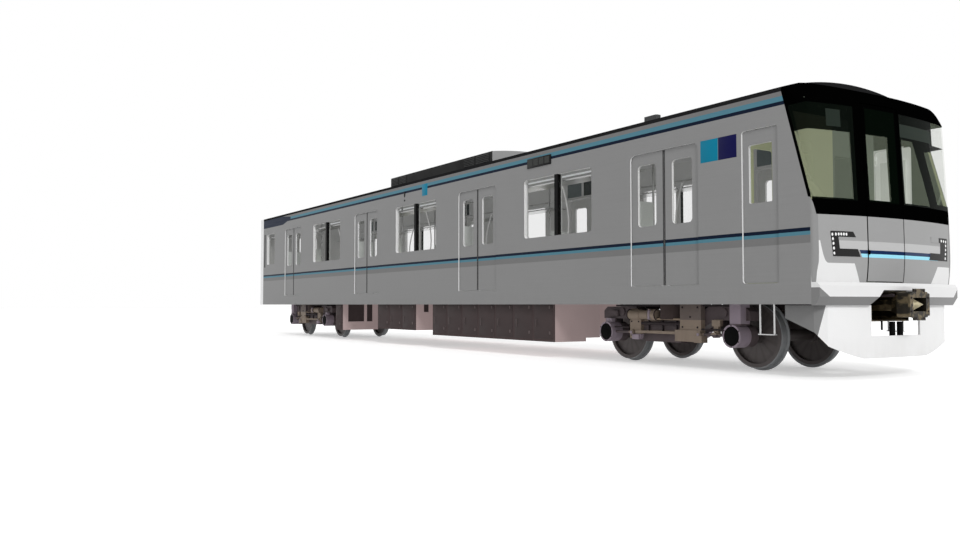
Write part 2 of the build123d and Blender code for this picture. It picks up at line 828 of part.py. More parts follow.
# Skirt under the front, a bent plate with a mouth for the coupler
with BuildPart() as skirt:
    with BuildSketch(Plane.XY.offset(skirt_low_z)):
        with BuildLine():
            side_y = half_width - skirt_side_in
            front_x = nose_x - skirt_in
            bow_end_x = front_x - skirt_bow
            corner_x = front_x - skirt_corner_back
            ThreePointArc((bow_end_x, -skirt_bow_half), (front_x, 0), (bow_end_x, skirt_bow_half))
            Polyline((bow_end_x, skirt_bow_half), (corner_x, side_y), (skirt_rear_x, side_y),
                     (skirt_rear_x, -side_y), (corner_x, -side_y), (bow_end_x, -skirt_bow_half))
        face = make_face()
        offset(amount=-skirt_t, mode=Mode.SUBTRACT)
    extrude(amount=bumper_heel_z - skirt_low_z)
    with BuildSketch(plane_at(half_width)):
        with BuildLine():
            Polyline((skirt_rear_x - skirt_t, 0), (nose_x, 0), (nose_x, skirt_low_z),
                     *[(nose_x - back, z) for back, z in skirt_heel],
                     (skirt_rear_x - skirt_t, skirt_tail_z), close=True)
        make_face()
    extrude(amount=2 * half_width, mode=Mode.SUBTRACT)
    with BuildSketch(Plane.YZ.offset(corner_x)):
        with Locations((0, (skirt_mouth_low_z + bumper_heel_z) / 2)):
            Rectangle(2 * skirt_mouth_half, bumper_heel_z - skirt_mouth_low_z)
    extrude(amount=skirt_corner_back, mode=Mode.SUBTRACT)
    with BuildSketch(Plane.XY.offset(0)):
        with Locations((skirt_rear_x, 0)):
            Rectangle(2 * skirt_t + 2, 2 * side_y - 2 * skirt_t)
    extrude(amount=bumper_heel_z, mode=Mode.SUBTRACT)
save(skirt.part, "skirt")

# Couplers: a cupped head with lips, its shank, and the pocket that it swings in
with BuildPart() as couplers:
    for end, way in bogies:
        head_x = coupler_face_x - coupler_head_l
        with BuildSketch(Plane.YZ.offset(way * head_x)):
            with Locations((0, coupler_z)):
                RectangleRounded(coupler_head_w, coupler_head_h, coupler_corner_r)
        extrude(amount=way * coupler_head_l)
        with BuildSketch(Plane.YZ.offset(way * (coupler_face_x - coupler_lip_t))):
            with Locations((0, coupler_z)):
                RectangleRounded(coupler_head_w + 4 * coupler_lip, coupler_head_h - 2 * coupler_lip,
                                 coupler_lip)
                Rectangle(coupler_head_w - 6 * coupler_lip, coupler_head_h + 4 * coupler_lip)
        extrude(amount=way * coupler_lip_t)
        with BuildSketch(Plane.YZ.offset(way * coupler_face_x)):
            with Locations((0, coupler_z)):
                Rectangle(coupler_cup_w, coupler_cup_h)
        extrude(amount=-way * coupler_cup_l, mode=Mode.SUBTRACT)
        with BuildSketch(Plane.YZ.offset(way * (coupler_face_x - coupler_cup_l))):
            with Locations((-coupler_cone_ys[0], coupler_z)):
                Rectangle(*coupler_cone_base)
        with BuildSketch(Plane.YZ.offset(way * (coupler_face_x - 2 * coupler_lip_t))):
            with Locations((-coupler_cone_ys[1], coupler_z)):
                Rectangle(*coupler_cone_tip)
        loft()
        with BuildSketch(Plane.YZ.offset(way * (coupler_face_x - shank_l))):
            with Locations((0, coupler_z)):
                RectangleRounded(shank_w, shank_h, shank_corner_r)
        extrude(amount=way * (shank_l - coupler_head_l - shank_flare_l))
        with BuildSketch(Plane.YZ.offset(way * (head_x - shank_flare_l))):
            with Locations((0, coupler_z)):
                Rectangle(shank_w, shank_h)
        with BuildSketch(Plane.YZ.offset(way * head_x)):
            with Locations((0, coupler_z)):
                Rectangle(coupler_head_w - shank_flare_lap[0], coupler_head_h - shank_flare_lap[1])
        loft()
        pocket_x = coupler_face_x - shank_l
        pocket_mid_z = (pocket_low_z + pocket_high_z) / 2
        with BuildSketch(Plane.YZ.offset(way * pocket_x)):
            with Locations((0, pocket_mid_z)):
                Rectangle(2 * pocket_half_w, pocket_high_z - pocket_low_z)
                Rectangle(2 * (pocket_half_w - pocket_t), pocket_high_z - pocket_low_z - 2 * pocket_t,
                          mode=Mode.SUBTRACT)
        extrude(amount=way * pocket_l)
        with BuildSketch(Plane.YZ.offset(way * pocket_x)):
            with Locations((0, pocket_mid_z)):
                Rectangle(2 * pocket_half_w, pocket_high_z - pocket_low_z)
        extrude(amount=-way * pocket_t)
save(couplers.part, "couplers")

# Underframe: bolsters with centre pins, longitudinal sills and cross bearers
with BuildPart() as underframe:
    for end, way in bogies:
        bogie_x = way * bogie_pitch / 2
        with BuildSketch(Plane.XY.offset(air_spring_top_z + leaf_play)):
            with Locations((bogie_x, 0)):
                Rectangle(bolster_l, 2 * inner_face_y)
        extrude(amount=floor_low_z - air_spring_top_z - leaf_play)
        with BuildSketch(Plane.XY.offset(beam_low_z + pin_foot_rise)):
            with Locations((bogie_x, 0)):
                Circle(pin_r)
        extrude(amount=floor_low_z - beam_low_z - pin_foot_rise)
        with BuildSketch(Plane.XY.offset(floor_low_z - draft_sill_h)):
            with Locations((way * (coupler_face_x - shank_l - pocket_t - draft_sill_l / 2), 0)):
                Rectangle(draft_sill_l, draft_sill_w)
        extrude(amount=draft_sill_h)
    with BuildSketch(Plane.XY.offset(floor_low_z - bearer_h)):
        with GridLocations(bearer_pitch, 0, bearers, 1):
            Rectangle(bearer_w, 2 * inner_face_y)
    extrude(amount=bearer_h)
save(underframe.part, "underframe")

# Bogies
for end, way in bogies:
    bogie_x = way * bogie_pitch / 2
    with BuildPart() as frame:
        for sign in (-1, 1):
            with BuildSketch(plane_at(beam_y + beam_w / 2 if sign > 0 else beam_w / 2 - beam_y, x=bogie_x)):
                with BuildLine():
                    half = [(beam_low_bends[1], beam_low_z), (beam_low_bends[0], beam_end_low_z),
                            (beam_reach, beam_end_low_z), (beam_reach, beam_end_high_z - beam_nose_h),
                            (beam_reach - beam_nose_l, beam_end_high_z), (beam_high_bends[0], beam_end_high_z),
                            (beam_high_bends[1], beam_high_z)]
                    Polyline(half + [(-x, z) for x, z in reversed(half)], close=True)
                make_face()
            extrude(amount=beam_w)
            for low_x, high_x, low_y, high_y, low_z, high_z in bogie_blocks:
                with BuildSketch(Plane.XY.offset(low_z)):
                    with Locations((bogie_x + way * (low_x + high_x) / 2, sign * (low_y + high_y) / 2)):
                        Rectangle(high_x - low_x, high_y - low_y)
                extrude(amount=high_z - low_z)
            for low_x, high_x, y, z, r in bogie_tubes:
                with BuildSketch(Plane.YZ.offset(bogie_x + way * low_x)):
                    with Locations((sign * y, z)):
                        Circle(r)
                extrude(amount=way * (high_x - low_x))
            for x, z, r, low_y, high_y in bogie_bosses:
                with BuildSketch(plane_at(sign * low_y)):
                    with Locations((bogie_x + way * x, z)):
                        Circle(r)
                extrude(amount=-sign * (high_y - low_y))
        with BuildSketch(Plane.XY.offset(beam_low_z)):
            with Locations((bogie_x, 0)):
                Rectangle(transom_l, 2 * beam_y)
                Circle(pin_r + pin_play, mode=Mode.SUBTRACT)
        extrude(amount=transom_h)
        for axle in (-1, 1):
            axle_x = bogie_x + axle * wheelbase / 2
            for sign in (-1, 1):
                with BuildSketch(plane_at(sign * box_inner_y)):
                    with Locations((axle_x, axle_z)):
                        Circle(box_r)
                extrude(amount=-sign * (box_outer_y - box_inner_y))
                with BuildSketch(Plane.XY.offset(axle_z + box_r - spring_post_seat)):
                    with Locations((axle_x, sign * beam_y)):
                        Circle(spring_post_r)
                extrude(amount=beam_end_low_z - axle_z - box_r + spring_post_seat)
                with BuildSketch(plane_at(sign * box_outer_y)):
                    with Locations((axle_x, axle_z)):
                        Circle(box_cap_r)
                extrude(amount=sign * box_cap_t, mode=Mode.SUBTRACT)
                with BuildSketch(plane_at(sign * box_inner_y)):
                    with Locations((axle_x, axle_z)):
                        Circle(journal_r + box_play)
                extrude(amount=-sign * (journal_end_y + box_play - box_inner_y), mode=Mode.SUBTRACT)
    save(frame.part, f"bogie_frame_{end}")

    with BuildPart() as springs:
        with BuildSketch(Plane.XY.offset(beam_high_z)):
            with Locations((bogie_x, -beam_y), (bogie_x, beam_y)):
                Circle(air_spring_r)
        extrude(amount=air_spring_top_z - beam_high_z)
    save(springs.part, f"air_springs_{end}")

    for axle, place in ((-1, "rear"), (1, "front")):
        axle_x = bogie_x + axle * wheelbase / 2
        with BuildPart() as wheelset:
            with BuildSketch(Plane.XY.offset(axle_z)):
                front_y = wheel_back_y + wheel_w
                hub_y = wheel_back_y + web_hub_y
                web_y = wheel_back_y + web_in_y
                with BuildLine():
                    Polyline([(axle_x + r, y) for r, y in (
                        (axle_r, wheel_back_y - hub_back), (hub_r, wheel_back_y - hub_back), (hub_r, hub_y),
                        (wheel_r - rim_t, web_y), (wheel_r - rim_t, wheel_back_y),
                        (wheel_r + flange_h - flange_tip, wheel_back_y),
                        (wheel_r + flange_h, wheel_back_y + flange_fillet_y),
                        (wheel_r + flange_h - flange_tip, wheel_back_y + flange_w - flange_tip),
                        (wheel_r, wheel_back_y + flange_w), (wheel_r, front_y), (wheel_r - rim_t, front_y),
                        (wheel_r - rim_t, web_y + web_t), (hub_r, hub_y + web_t),
                        (hub_r, front_y + hub_proud), (axle_r, front_y + hub_proud))], close=True)
                make_face()
            revolve(axis=Axis((axle_x, 0, axle_z), (0, 1, 0)))
            mirror(about=Plane.XZ)
            with BuildSketch(Plane.XZ.offset(-front_y - hub_proud)):
                with Locations((axle_x, axle_z)):
                    Circle(axle_r)
            extrude(amount=2 * (front_y + hub_proud))
            with BuildSketch(Plane.XZ.offset(-journal_end_y)):
                with Locations((axle_x, axle_z)):
                    Circle(journal_r)
            extrude(amount=2 * journal_end_y)
        save(wheelset.part, f"wheelset_{end}_{place}")

# Cab bulkhead with its door
bulkhead_door_low_y = bulkhead_door_y - bulkhead_door_w / 2
bulkhead_door_high_y = bulkhead_door_y + bulkhead_door_w / 2
with BuildPart() as bulkhead:
    with BuildSketch(Plane.YZ.offset(bulkhead_x)):
        with Locations((0, (floor_top_z + cant_z) / 2)):
            Rectangle(2 * inner_face_y, cant_z - floor_top_z)
        with Locations((bulkhead_door_y, floor_top_z + bulkhead_door_h / 2)):
            Rectangle(bulkhead_door_w, bulkhead_door_h, mode=Mode.SUBTRACT)
        with Locations((-(inner_face_y - bulkhead_door_low_y) / 2, bulkhead_window_z),
                       ((inner_face_y + bulkhead_door_high_y) / 2, bulkhead_window_z)):
            RectangleRounded(bulkhead_window_w, bulkhead_window_h, bulkhead_window_r, mode=Mode.SUBTRACT)
    extrude(amount=bulkhead_t)
    with BuildSketch(Plane.YZ.offset(bulkhead_x)):
        with Locations((bulkhead_door_y, floor_top_z + bulkhead_door_h / 2)):
            Rectangle(bulkhead_door_w, bulkhead_door_h)
        with Locations((bulkhead_door_y, floor_top_z + (bulkhead_door_h - bulkhead_stop) / 2)):
            Rectangle(bulkhead_door_w - 2 * bulkhead_stop, bulkhead_door_h - bulkhead_stop, mode=Mode.SUBTRACT)
    extrude(amount=bulkhead_stop_t)
save(bulkhead.part, "cab_bulkhead")

with BuildPart() as bulkhead_door:
    with BuildSketch(Plane.XY.offset(bulkhead_hinge_zs[0])):
        with Locations((bulkhead_x + bulkhead_t + bulkhead_hinge_out, bulkhead_door_low_y + cab_door_play)):
            Circle(bulkhead_hinge_r)
    extrude(amount=bulkhead_hinge_zs[1] - bulkhead_hinge_zs[0])
    with BuildSketch(Plane.YZ.offset(bulkhead_x + bulkhead_stop_t + pane_seat)):
        with Locations((bulkhead_door_y, floor_top_z + bulkhead_door_h / 2)):
            Rectangle(bulkhead_door_w - 2 * cab_door_play, bulkhead_door_h - 2 * cab_door_play)
        with Locations((bulkhead_door_y, bulkhead_window_z)):
            RectangleRounded(bulkhead_window_w, bulkhead_window_h, bulkhead_window_r, mode=Mode.SUBTRACT)
    extrude(amount=bulkhead_t - bulkhead_stop_t - pane_seat)
save(bulkhead_door.part, "bulkhead_door")

# Cab desk and driver's seat
with BuildPart() as desk:
    with BuildSketch(plane_at(desk_left_y, z=floor_top_z)):
        with BuildLine():
            Polyline((desk_edge_x, desk_edge_h), (desk_back_x, desk_back_h), (desk_back_x, 0), (desk_foot_x, 0),
                     (desk_foot_x, desk_apron_h), close=True)
        make_face()
    extrude(amount=desk_left_y - desk_right_y)
save(desk.part, "cab_desk")

with BuildPart() as seat:
    with BuildSketch(Plane.XY.offset(floor_top_z)):
        with Locations((driver_x, driver_y)):
            Rectangle(driver_base_w, driver_base_w)
    extrude(amount=driver_base_h)
    with BuildSketch(Plane.XY.offset(floor_top_z + driver_base_h)):
        with Locations((driver_x + driver_cushion_x, driver_y)):
            RectangleRounded(driver_cushion_l, driver_w, driver_corner_r)
    extrude(amount=driver_cushion_t)
    with BuildSketch(Plane.XY.offset(floor_top_z + driver_base_h + driver_cushion_t)):
        with Locations((driver_x + driver_back_x, driver_y)):
            RectangleRounded(driver_back_t, driver_w, driver_corner_r)
    extrude(amount=driver_back_h)
save(seat.part, "cab_seat")

# Saloon seats: long benches between the doorways, on the walls
bench_half = (door_pitch - door_width) / 2 - seat_doorway_gap
bench_rows = [(x - bench_half, x + bench_half) for x in window_xs]
bench_rows.append((end_lining_x + lining_t, door_xs[0] - door_width / 2 - seat_doorway_gap))
pole_y = lining_face_y - seat_end_w - pole_r
with BuildPart() as cushions:
    for side, sign in sides:
        for low_x, high_x in bench_rows:
            with BuildSketch(Plane.YZ.offset(low_x)):
                with BuildLine():
                    Polyline([(sign * (lining_face_y - out), floor_top_z + h) for out, h in (
                        (0, seat_low_h), (seat_depth, seat_low_h), (seat_depth, seat_front_h),
                        (seat_heel_y, seat_heel_h), (seat_back_t, seat_back_h), (0, seat_back_h))], close=True)
                make_face()
            extrude(amount=high_x - low_x)
save(cushions.part, "seat_cushions")

with BuildPart() as seat_frames:
    for side, sign in sides:
        for low_x, high_x in bench_rows:
            with BuildSketch(Plane.XY.offset(floor_top_z)):
                with Locations(((low_x + high_x) / 2, sign * (lining_face_y - seat_base_w / 2))):
                    Rectangle(high_x - low_x, seat_base_w)
            extrude(amount=seat_low_h)
            ends = (low_x - seat_end_t / 2, high_x + seat_end_t / 2) if low_x > door_xs[0] else (
                high_x + seat_end_t / 2,)
            with BuildSketch(Plane.XY.offset(floor_top_z)):
                with Locations([(x, sign * (lining_face_y - seat_end_w / 2)) for x in ends]):
                    Rectangle(seat_end_t, seat_end_w)
            extrude(amount=seat_end_h)
save(seat_frames.part, "seat_frames")

# Luggage racks above the benches
with BuildPart() as racks:
    for side, sign in sides:
        for low_x, high_x in bench_rows:
            with BuildSketch(Plane.XY.offset(floor_top_z + rack_h)):
                with Locations(((low_x + high_x) / 2, sign * (lining_face_y - rack_w / 2))):
                    Rectangle(high_x - low_x - 2 * rack_end_gap, rack_w)
            extrude(amount=rack_t)
save(racks.part, "luggage_racks")

# Stanchions at the bench ends
with BuildPart() as poles:
    with BuildSketch(Plane.XY.offset(floor_top_z)):
        for side, sign in sides:
            for low_x, high_x in bench_rows:
                pole_out = seat_end_t / 2
                ends = (low_x - pole_out, high_x + pole_out) if low_x > door_xs[0] else (high_x + pole_out,)
                with Locations([(x, sign * pole_y) for x in ends]):
                    Circle(pole_r)
    extrude(amount=cant_z - floor_top_z)
    with BuildSketch(Plane.YZ.offset(bench_rows[-1][1] - rail_overhang)):
        with Locations((-pole_y, floor_top_z + rail_h), (pole_y, floor_top_z + rail_h)):
            Circle(rail_r)
    extrude(amount=bench_rows[-2][1] - bench_rows[-1][1] + 2 * rail_overhang)
save(poles.part, "handrails")

# Equipment cases under the floor, with hatches sunk into their end faces
with BuildPart() as cases:
    for low_x, high_x, low_y, high_y, low_z in case_rows:
        with BuildSketch(Plane.XY.offset(low_z)):
            with Locations(((low_x + high_x) / 2, (low_y + high_y) / 2)):
                Rectangle(high_x - low_x, high_y - low_y)
        extrude(amount=floor_low_z - bearer_h - low_z)
    for face_x, low_y, high_y, low_z, depth in case_hatches:
        with BuildSketch(Plane.XY.offset(low_z)):
            with Locations((face_x - depth / 2, (low_y + high_y) / 2)):
                Rectangle(depth, high_y - low_y)
        extrude(amount=floor_low_z - bearer_h - hatch_top_gap - low_z, mode=Mode.SUBTRACT)
save(cases.part, "equipment_cases")

# Air conditioner and aerial
with BuildPart() as air_con:
    with BuildSketch(Plane.YZ.offset(air_con_x - air_con_l / 2)):
        with BuildLine():
            base_z = roof_top_z - air_con_seat
            ThreePointArc((-air_con_half_w, air_con_side_z), (0, air_con_top_z),
                          (air_con_half_w, air_con_side_z))
            Polyline((air_con_half_w, air_con_side_z), (air_con_half_w, base_z), (-air_con_half_w, base_z),
                     (-air_con_half_w, air_con_side_z))
        make_face()
    extrude(amount=air_con_l)
air_con_part = air_con.part - roof.part
save(air_con_part, "air_conditioner")

with BuildPart() as antenna:
    with BuildSketch(Plane.XY.offset(roof_top_z - antenna_seat)):
        with Locations((antenna_x, 0)):
            RectangleRounded(antenna_l, antenna_w, antenna_r)
    extrude(amount=antenna_top_z - roof_top_z + antenna_seat)
antenna_part = antenna.part - roof.part
save(antenna_part, "aerial")

# Foot steps below the cab doors: two rods and a tread
with BuildPart() as steps:
    for side, sign in sides:
        step_y = sign * (half_width - step_in)
        with BuildSketch(Plane.XY.offset(step_z)):
            with Locations((step_x - step_w / 2, step_y), (step_x + step_w / 2, step_y)):
                Circle(step_rod_r)
        extrude(amount=floor_low_z - step_z)
        with BuildSketch(Plane.XY.offset(step_z)):
            with Locations((step_x, step_y)):
                Rectangle(step_w + 3 * step_rod_r, 4 * step_rod_r)
        extrude(amount=-step_tread_t)
save(steps.part, "cab_steps")
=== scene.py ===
import bpy
import json
import math
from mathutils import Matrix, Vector


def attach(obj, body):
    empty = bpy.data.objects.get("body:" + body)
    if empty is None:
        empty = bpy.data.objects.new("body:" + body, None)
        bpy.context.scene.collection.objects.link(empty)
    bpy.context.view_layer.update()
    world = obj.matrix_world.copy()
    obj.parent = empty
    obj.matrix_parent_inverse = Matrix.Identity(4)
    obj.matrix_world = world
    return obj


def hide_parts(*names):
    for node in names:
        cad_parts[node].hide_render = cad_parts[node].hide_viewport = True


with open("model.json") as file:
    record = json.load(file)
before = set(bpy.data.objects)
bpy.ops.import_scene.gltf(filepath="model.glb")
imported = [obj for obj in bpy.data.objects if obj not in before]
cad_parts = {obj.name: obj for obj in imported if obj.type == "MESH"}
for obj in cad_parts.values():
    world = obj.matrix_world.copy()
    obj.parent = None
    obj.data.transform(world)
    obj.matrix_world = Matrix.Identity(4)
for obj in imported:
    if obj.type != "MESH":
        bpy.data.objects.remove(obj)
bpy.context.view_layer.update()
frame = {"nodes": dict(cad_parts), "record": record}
nodes = frame["nodes"]
scene = bpy.context.scene

# Sizes of the car that the dressing repeats, in metres: +X is ahead, +Y to the left, Z up from the rail
HALF_WIDTH = 1.39
WALL_IN = 1.302
DOOR_PITCH = 4.82
DOOR_XS = (-7.23, -2.41, 2.41, 7.23)
WINDOW_XS = (-DOOR_PITCH, 0.0, DOOR_PITCH)
SIDES = (("right", -1), ("left", 1))
BOGIE_X = 6.9
BOGIES = (("rear", -BOGIE_X), ("front", BOGIE_X))
WHEELBASE = 2.47
AXLE_Z = 0.46
END_WALL_X = -9.765
BULKHEAD_X = 8.6005
RAIL_Y = 0.845
RAIL_Z = 2.955
COUPLER_FACE_X = 10.03
COUPLER_Z = 0.87
# The nose bows about an upright axis and leans back by NOSE_LEAN for each metre above its break
NOSE_X = 9.778
BOW_RADIUS = 6.41
BREAK_Z = 1.9
NOSE_LEAN = 0.051
# Lower and upper end of the mask's raked rear edge, as X and Z
RAKE_LOW = (9.66, BREAK_Z)
RAKE_HIGH = (9.209, 3.387)
# Height of the clear windows in the nose
CLEAR_LOW_Z = 2.10
CLEAR_HIGH_Z = 2.885


# Camera and light
def aim_camera(place, yaw, pitch, focal_px, width_px=960):
    """Camera that looks towards -X, turned by yaw to +Y and raised by pitch."""
    data = bpy.data.cameras.new("camera")
    data.sensor_width = 36.0
    data.lens = data.sensor_width * focal_px / width_px
    data.clip_end = 400.0
    camera = bpy.data.objects.new("camera", data)
    scene.collection.objects.link(camera)
    look = Vector((-math.cos(yaw) * math.cos(pitch), math.sin(yaw) * math.cos(pitch), math.sin(pitch)))
    camera.location = place
    camera.rotation_euler = look.to_track_quat("-Z", "Y").to_euler()
    scene.camera = camera


def shine(name, direction, strength, angle):
    """Sun lamp that shines along a direction."""
    data = bpy.data.lights.new(name, "SUN")
    data.energy = strength
    data.angle = math.radians(angle)
    lamp = bpy.data.objects.new(name, data)
    lamp.rotation_euler = Vector(direction).to_track_quat("-Z", "Y").to_euler()
    scene.collection.objects.link(lamp)


def seen_directly(tree):
    """1 for what the camera sees, also in mirrors and through glass, else 0."""
    path = tree.nodes.new("ShaderNodeLightPath")
    total = path.outputs["Is Camera Ray"]
    for ray in ("Is Glossy Ray", "Is Transmission Ray"):
        step = tree.nodes.new("ShaderNodeMath")
        step.operation = "MAXIMUM"
        tree.links.new(total, step.inputs[0])
        tree.links.new(path.outputs[ray], step.inputs[1])
        total = step.outputs[0]
    return total


def light_world():
    """White behind the car for the camera, and a softer grey sky for its light."""
    world = bpy.data.worlds.new("studio")
    world.use_nodes = True
    tree = world.node_tree
    sky = tree.nodes["Background"]
    sky.inputs["Color"].default_value = (0.97, 0.97, 0.97, 1)
    sky.inputs["Strength"].default_value = 0.72
    white = tree.nodes.new("ShaderNodeBackground")
    white.inputs["Color"].default_value = (1, 1, 1, 1)
    white.inputs["Strength"].default_value = 1.0
    seen = seen_directly(tree)
    mix = tree.nodes.new("ShaderNodeMixShader")
    tree.links.new(seen, mix.inputs[0])
    tree.links.new(sky.outputs[0], mix.inputs[1])
    tree.links.new(white.outputs[0], mix.inputs[2])
    tree.links.new(mix.outputs[0], tree.nodes["World Output"].inputs["Surface"])
    scene.world = world


scene.view_settings.view_transform = "Standard"
aim_camera((15.9445, -9.8111, 0.8688), math.radians(32.119), math.radians(2.280), 870.38)
light_world()
shine("key", (-0.80, 0.30, -0.55), 1.25, 12)
shine("fill", (0.55, -0.75, -0.50), 0.45, 30)


# Finishes
def srgb(r, g, b):
    """Linear colour from 0-255 screen values."""
    return tuple((v / 255 / 12.92 if v <= 10 else ((v / 255 + 0.055) / 1.055) ** 2.4)
                 for v in (r, g, b)) + (1,)


class Finish:
    """A material in the making: colour layers, mottle and grain on object coordinates."""

    def __init__(self, name, colour, rough, metal=0.0):
        self.material = bpy.data.materials.new(name)
        self.material.use_nodes = True
        self.tree = self.material.node_tree
        self.shader = self.tree.nodes["Principled BSDF"]
        self.shader.inputs["Metallic"].default_value = metal
        self.shader.inputs["Roughness"].default_value = rough
        self.rough = rough
        self.colour = colour
        self.height = None
        self.lit = 0.0
        self.point = self.node("ShaderNodeTexCoord").outputs["Object"]
        self.x, self.y, self.z = self.node("ShaderNodeSeparateXYZ", Vector=self.point).outputs

    def node(self, kind, **inputs):
        """Adds a shader node and feeds the inputs that are named."""
        made = self.tree.nodes.new(kind)
        for key, value in inputs.items():
            self.feed(made.inputs[key], value)
        return made

    def feed(self, socket, value):
        """Links an input to another node's output, or sets it to a constant."""
        if isinstance(value, bpy.types.NodeSocket):
            self.tree.links.new(value, socket)
        else:
            socket.default_value = value

    def math(self, operation, first, second=0.0):
        """Result of a math node."""
        made = self.tree.nodes.new("ShaderNodeMath")
        made.operation = operation
        self.feed(made.inputs[0], first)
        self.feed(made.inputs[1], second)
        return made.outputs[0]

    def plus(self, first, second):
        return self.math("ADD", first, second)

    def minus(self, first, second):
        return self.math("SUBTRACT", first, second)

    def times(self, first, second):
        return self.math("MULTIPLY", first, second)

    def above(self, value, limit):
        return self.math("GREATER_THAN", value, limit)

    def below(self, value, limit):
        return self.math("LESS_THAN", value, limit)

    def apart(self, first, second):
        """Distance between two values."""
        return self.math("ABSOLUTE", self.minus(first, second))

    def length(self, first, second):
        """Distance from the origin of a point in a plane."""
        return self.math("SQRT", self.plus(self.math("POWER", first, 2.0), self.math("POWER", second, 2.0)))

    def band(self, value, low, high):
        """1 between two limits, else 0."""
        return self.times(self.above(value, low), self.below(value, high))

    def both(self, *masks):
        """1 where all masks are 1."""
        total = masks[0]
        for mask in masks[1:]:
            total = self.times(total, mask)
        return total

    def either(self, first, second):
        """The larger of two values; of masks, 1 where one of them is 1."""
        return self.math("MAXIMUM", first, second)

    def outside(self, mask):
        """1 where the mask is 0."""
        return self.math("SUBTRACT", 1.0, mask)

    def soft(self, value, low, high):
        """Ramp from 0 at low to 1 at high."""
        made = self.node("ShaderNodeMapRange", Value=value)
        made.inputs["From Min"].default_value = low
        made.inputs["From Max"].default_value = high
        return made.outputs[0]

    def paint(self, mask, colour):
        """Lays a colour over what is there, where the mask is 1."""
        mix = self.tree.nodes.new("ShaderNodeMix")
        mix.data_type = "RGBA"
        self.feed(mix.inputs["Factor"], mask)
        self.feed(mix.inputs[6], self.colour)
        self.feed(mix.inputs[7], colour)
        self.colour = mix.outputs[2]
        return self

    def noise(self, size, stretch=(1, 1, 1), detail=3.0):
        """Noise whose features are about size metres across, stretched along an axis."""
        mapped = self.node("ShaderNodeMapping", Vector=self.point)
        mapped.inputs["Scale"].default_value = tuple(1 / s for s in stretch)
        made = self.node("ShaderNodeTexNoise", Vector=mapped.outputs[0], Scale=0.5 / size, Detail=detail)
        return made.outputs["Fac"]

    def mottle(self, size, depth, stretch=(1, 1, 1)):
        """Uneven tone, and with it uneven gloss."""
        value = self.soft(self.noise(size, stretch), 0.3, 0.7)
        tone = self.node("ShaderNodeHueSaturation", Color=self.colour)
        self.feed(tone.inputs["Value"], self.plus(self.times(value, depth), 1 - depth / 2))
        self.colour = tone.outputs[0]
        self.feed(self.shader.inputs["Roughness"],
                  self.plus(self.times(value, self.rough * 0.3), self.rough * 0.85))
        return self

    def grain(self, size, height, stretch=(1, 1, 1)):
        """Fine relief, height in metres."""
        value = self.times(self.noise(size, stretch, 2.0), height)
        self.height = value if self.height is None else self.plus(self.height, value)
        return self

    def grime(self, low, high, colour, strength=0.5):
        """Dirt that thickens downwards between two heights."""
        streak = self.soft(self.noise(0.05, (1, 1, 6)), 0.35, 0.75)
        fade = self.soft(self.z, high, low)
        return self.paint(self.times(self.both(streak, fade), strength), colour)

    def between(self, value, middle, half):
        """1 within half a width of a middle, else 0."""
        return self.below(self.apart(value, middle), half)

    def rounded(self, across, up, centre, half, radius):
        """1 inside a rectangle with rounded corners, given as centre and half sizes."""
        far = []
        for value, middle, reach in ((across, centre[0], half[0]), (up, centre[1], half[1])):
            far.append(self.either(self.minus(self.apart(value, middle), reach - radius), 0.0))
        return self.below(self.length(*far), radius)

    def wrapped(self, value, middle, pitch):
        """Distance from the nearest of a row of places a pitch apart."""
        made = self.tree.nodes.new("ShaderNodeMath")
        made.operation = "WRAP"
        self.feed(made.inputs[0], self.minus(value, middle))
        made.inputs[1].default_value = pitch / 2
        made.inputs[2].default_value = -pitch / 2
        return self.math("ABSOLUTE", made.outputs[0])

    def see_through(self, area, tint, alpha):
        """Makes an area glass: tinted and clear, and only its outer face shows."""
        self.paint(area, tint)
        clear = self.outside(self.times(self.facing_out(), alpha))
        self.feed(self.shader.inputs["Alpha"], self.outside(self.times(area, clear)))
        return self

    def facing_out(self):
        """1 where a ray meets a face from its front, so that only the near face of a pane shows."""
        return self.outside(self.node("ShaderNodeNewGeometry").outputs["Backfacing"])

    def outward(self):
        """Distance from the car's middle plane."""
        return self.math("ABSOLUTE", self.y)

    def light_up(self, mask, colour, strength=0.55):
        """Painted glow: light of its own where the mask is 1, on parts that are no lamps."""
        mix = self.tree.nodes.new("ShaderNodeMix")
        mix.data_type = "RGBA"
        self.feed(mix.inputs["Factor"], mask)
        mix.inputs[6].default_value = (0, 0, 0, 1)
        mix.inputs[7].default_value = colour
        self.feed(self.shader.inputs["Emission Color"], mix.outputs[2])
        self.shader.inputs["Emission Strength"].default_value = strength
        return self

    def glow(self, strength):
        """Painted glow: faint light of its own, on parts that are no lamps."""
        self.lit = strength
        return self

    def polish(self, coat, shine):
        """Clear coat and mirror strength."""
        self.shader.inputs["Coat Weight"].default_value = coat
        self.shader.inputs["Specular IOR Level"].default_value = shine
        return self

    def done(self):
        """The material with its layers and relief plugged in."""
        self.feed(self.shader.inputs["Base Color"], self.colour)
        if self.lit:
            self.feed(self.shader.inputs["Emission Color"], self.colour)
            self.shader.inputs["Emission Strength"].default_value = self.lit
        if self.height is not None:
            bump = self.node("ShaderNodeBump", Height=self.height)
            bump.inputs["Distance"].default_value = 1.0
            bump.inputs["Strength"].default_value = 1.0
            self.feed(self.shader.inputs["Normal"], bump.outputs[0])
        return self.material


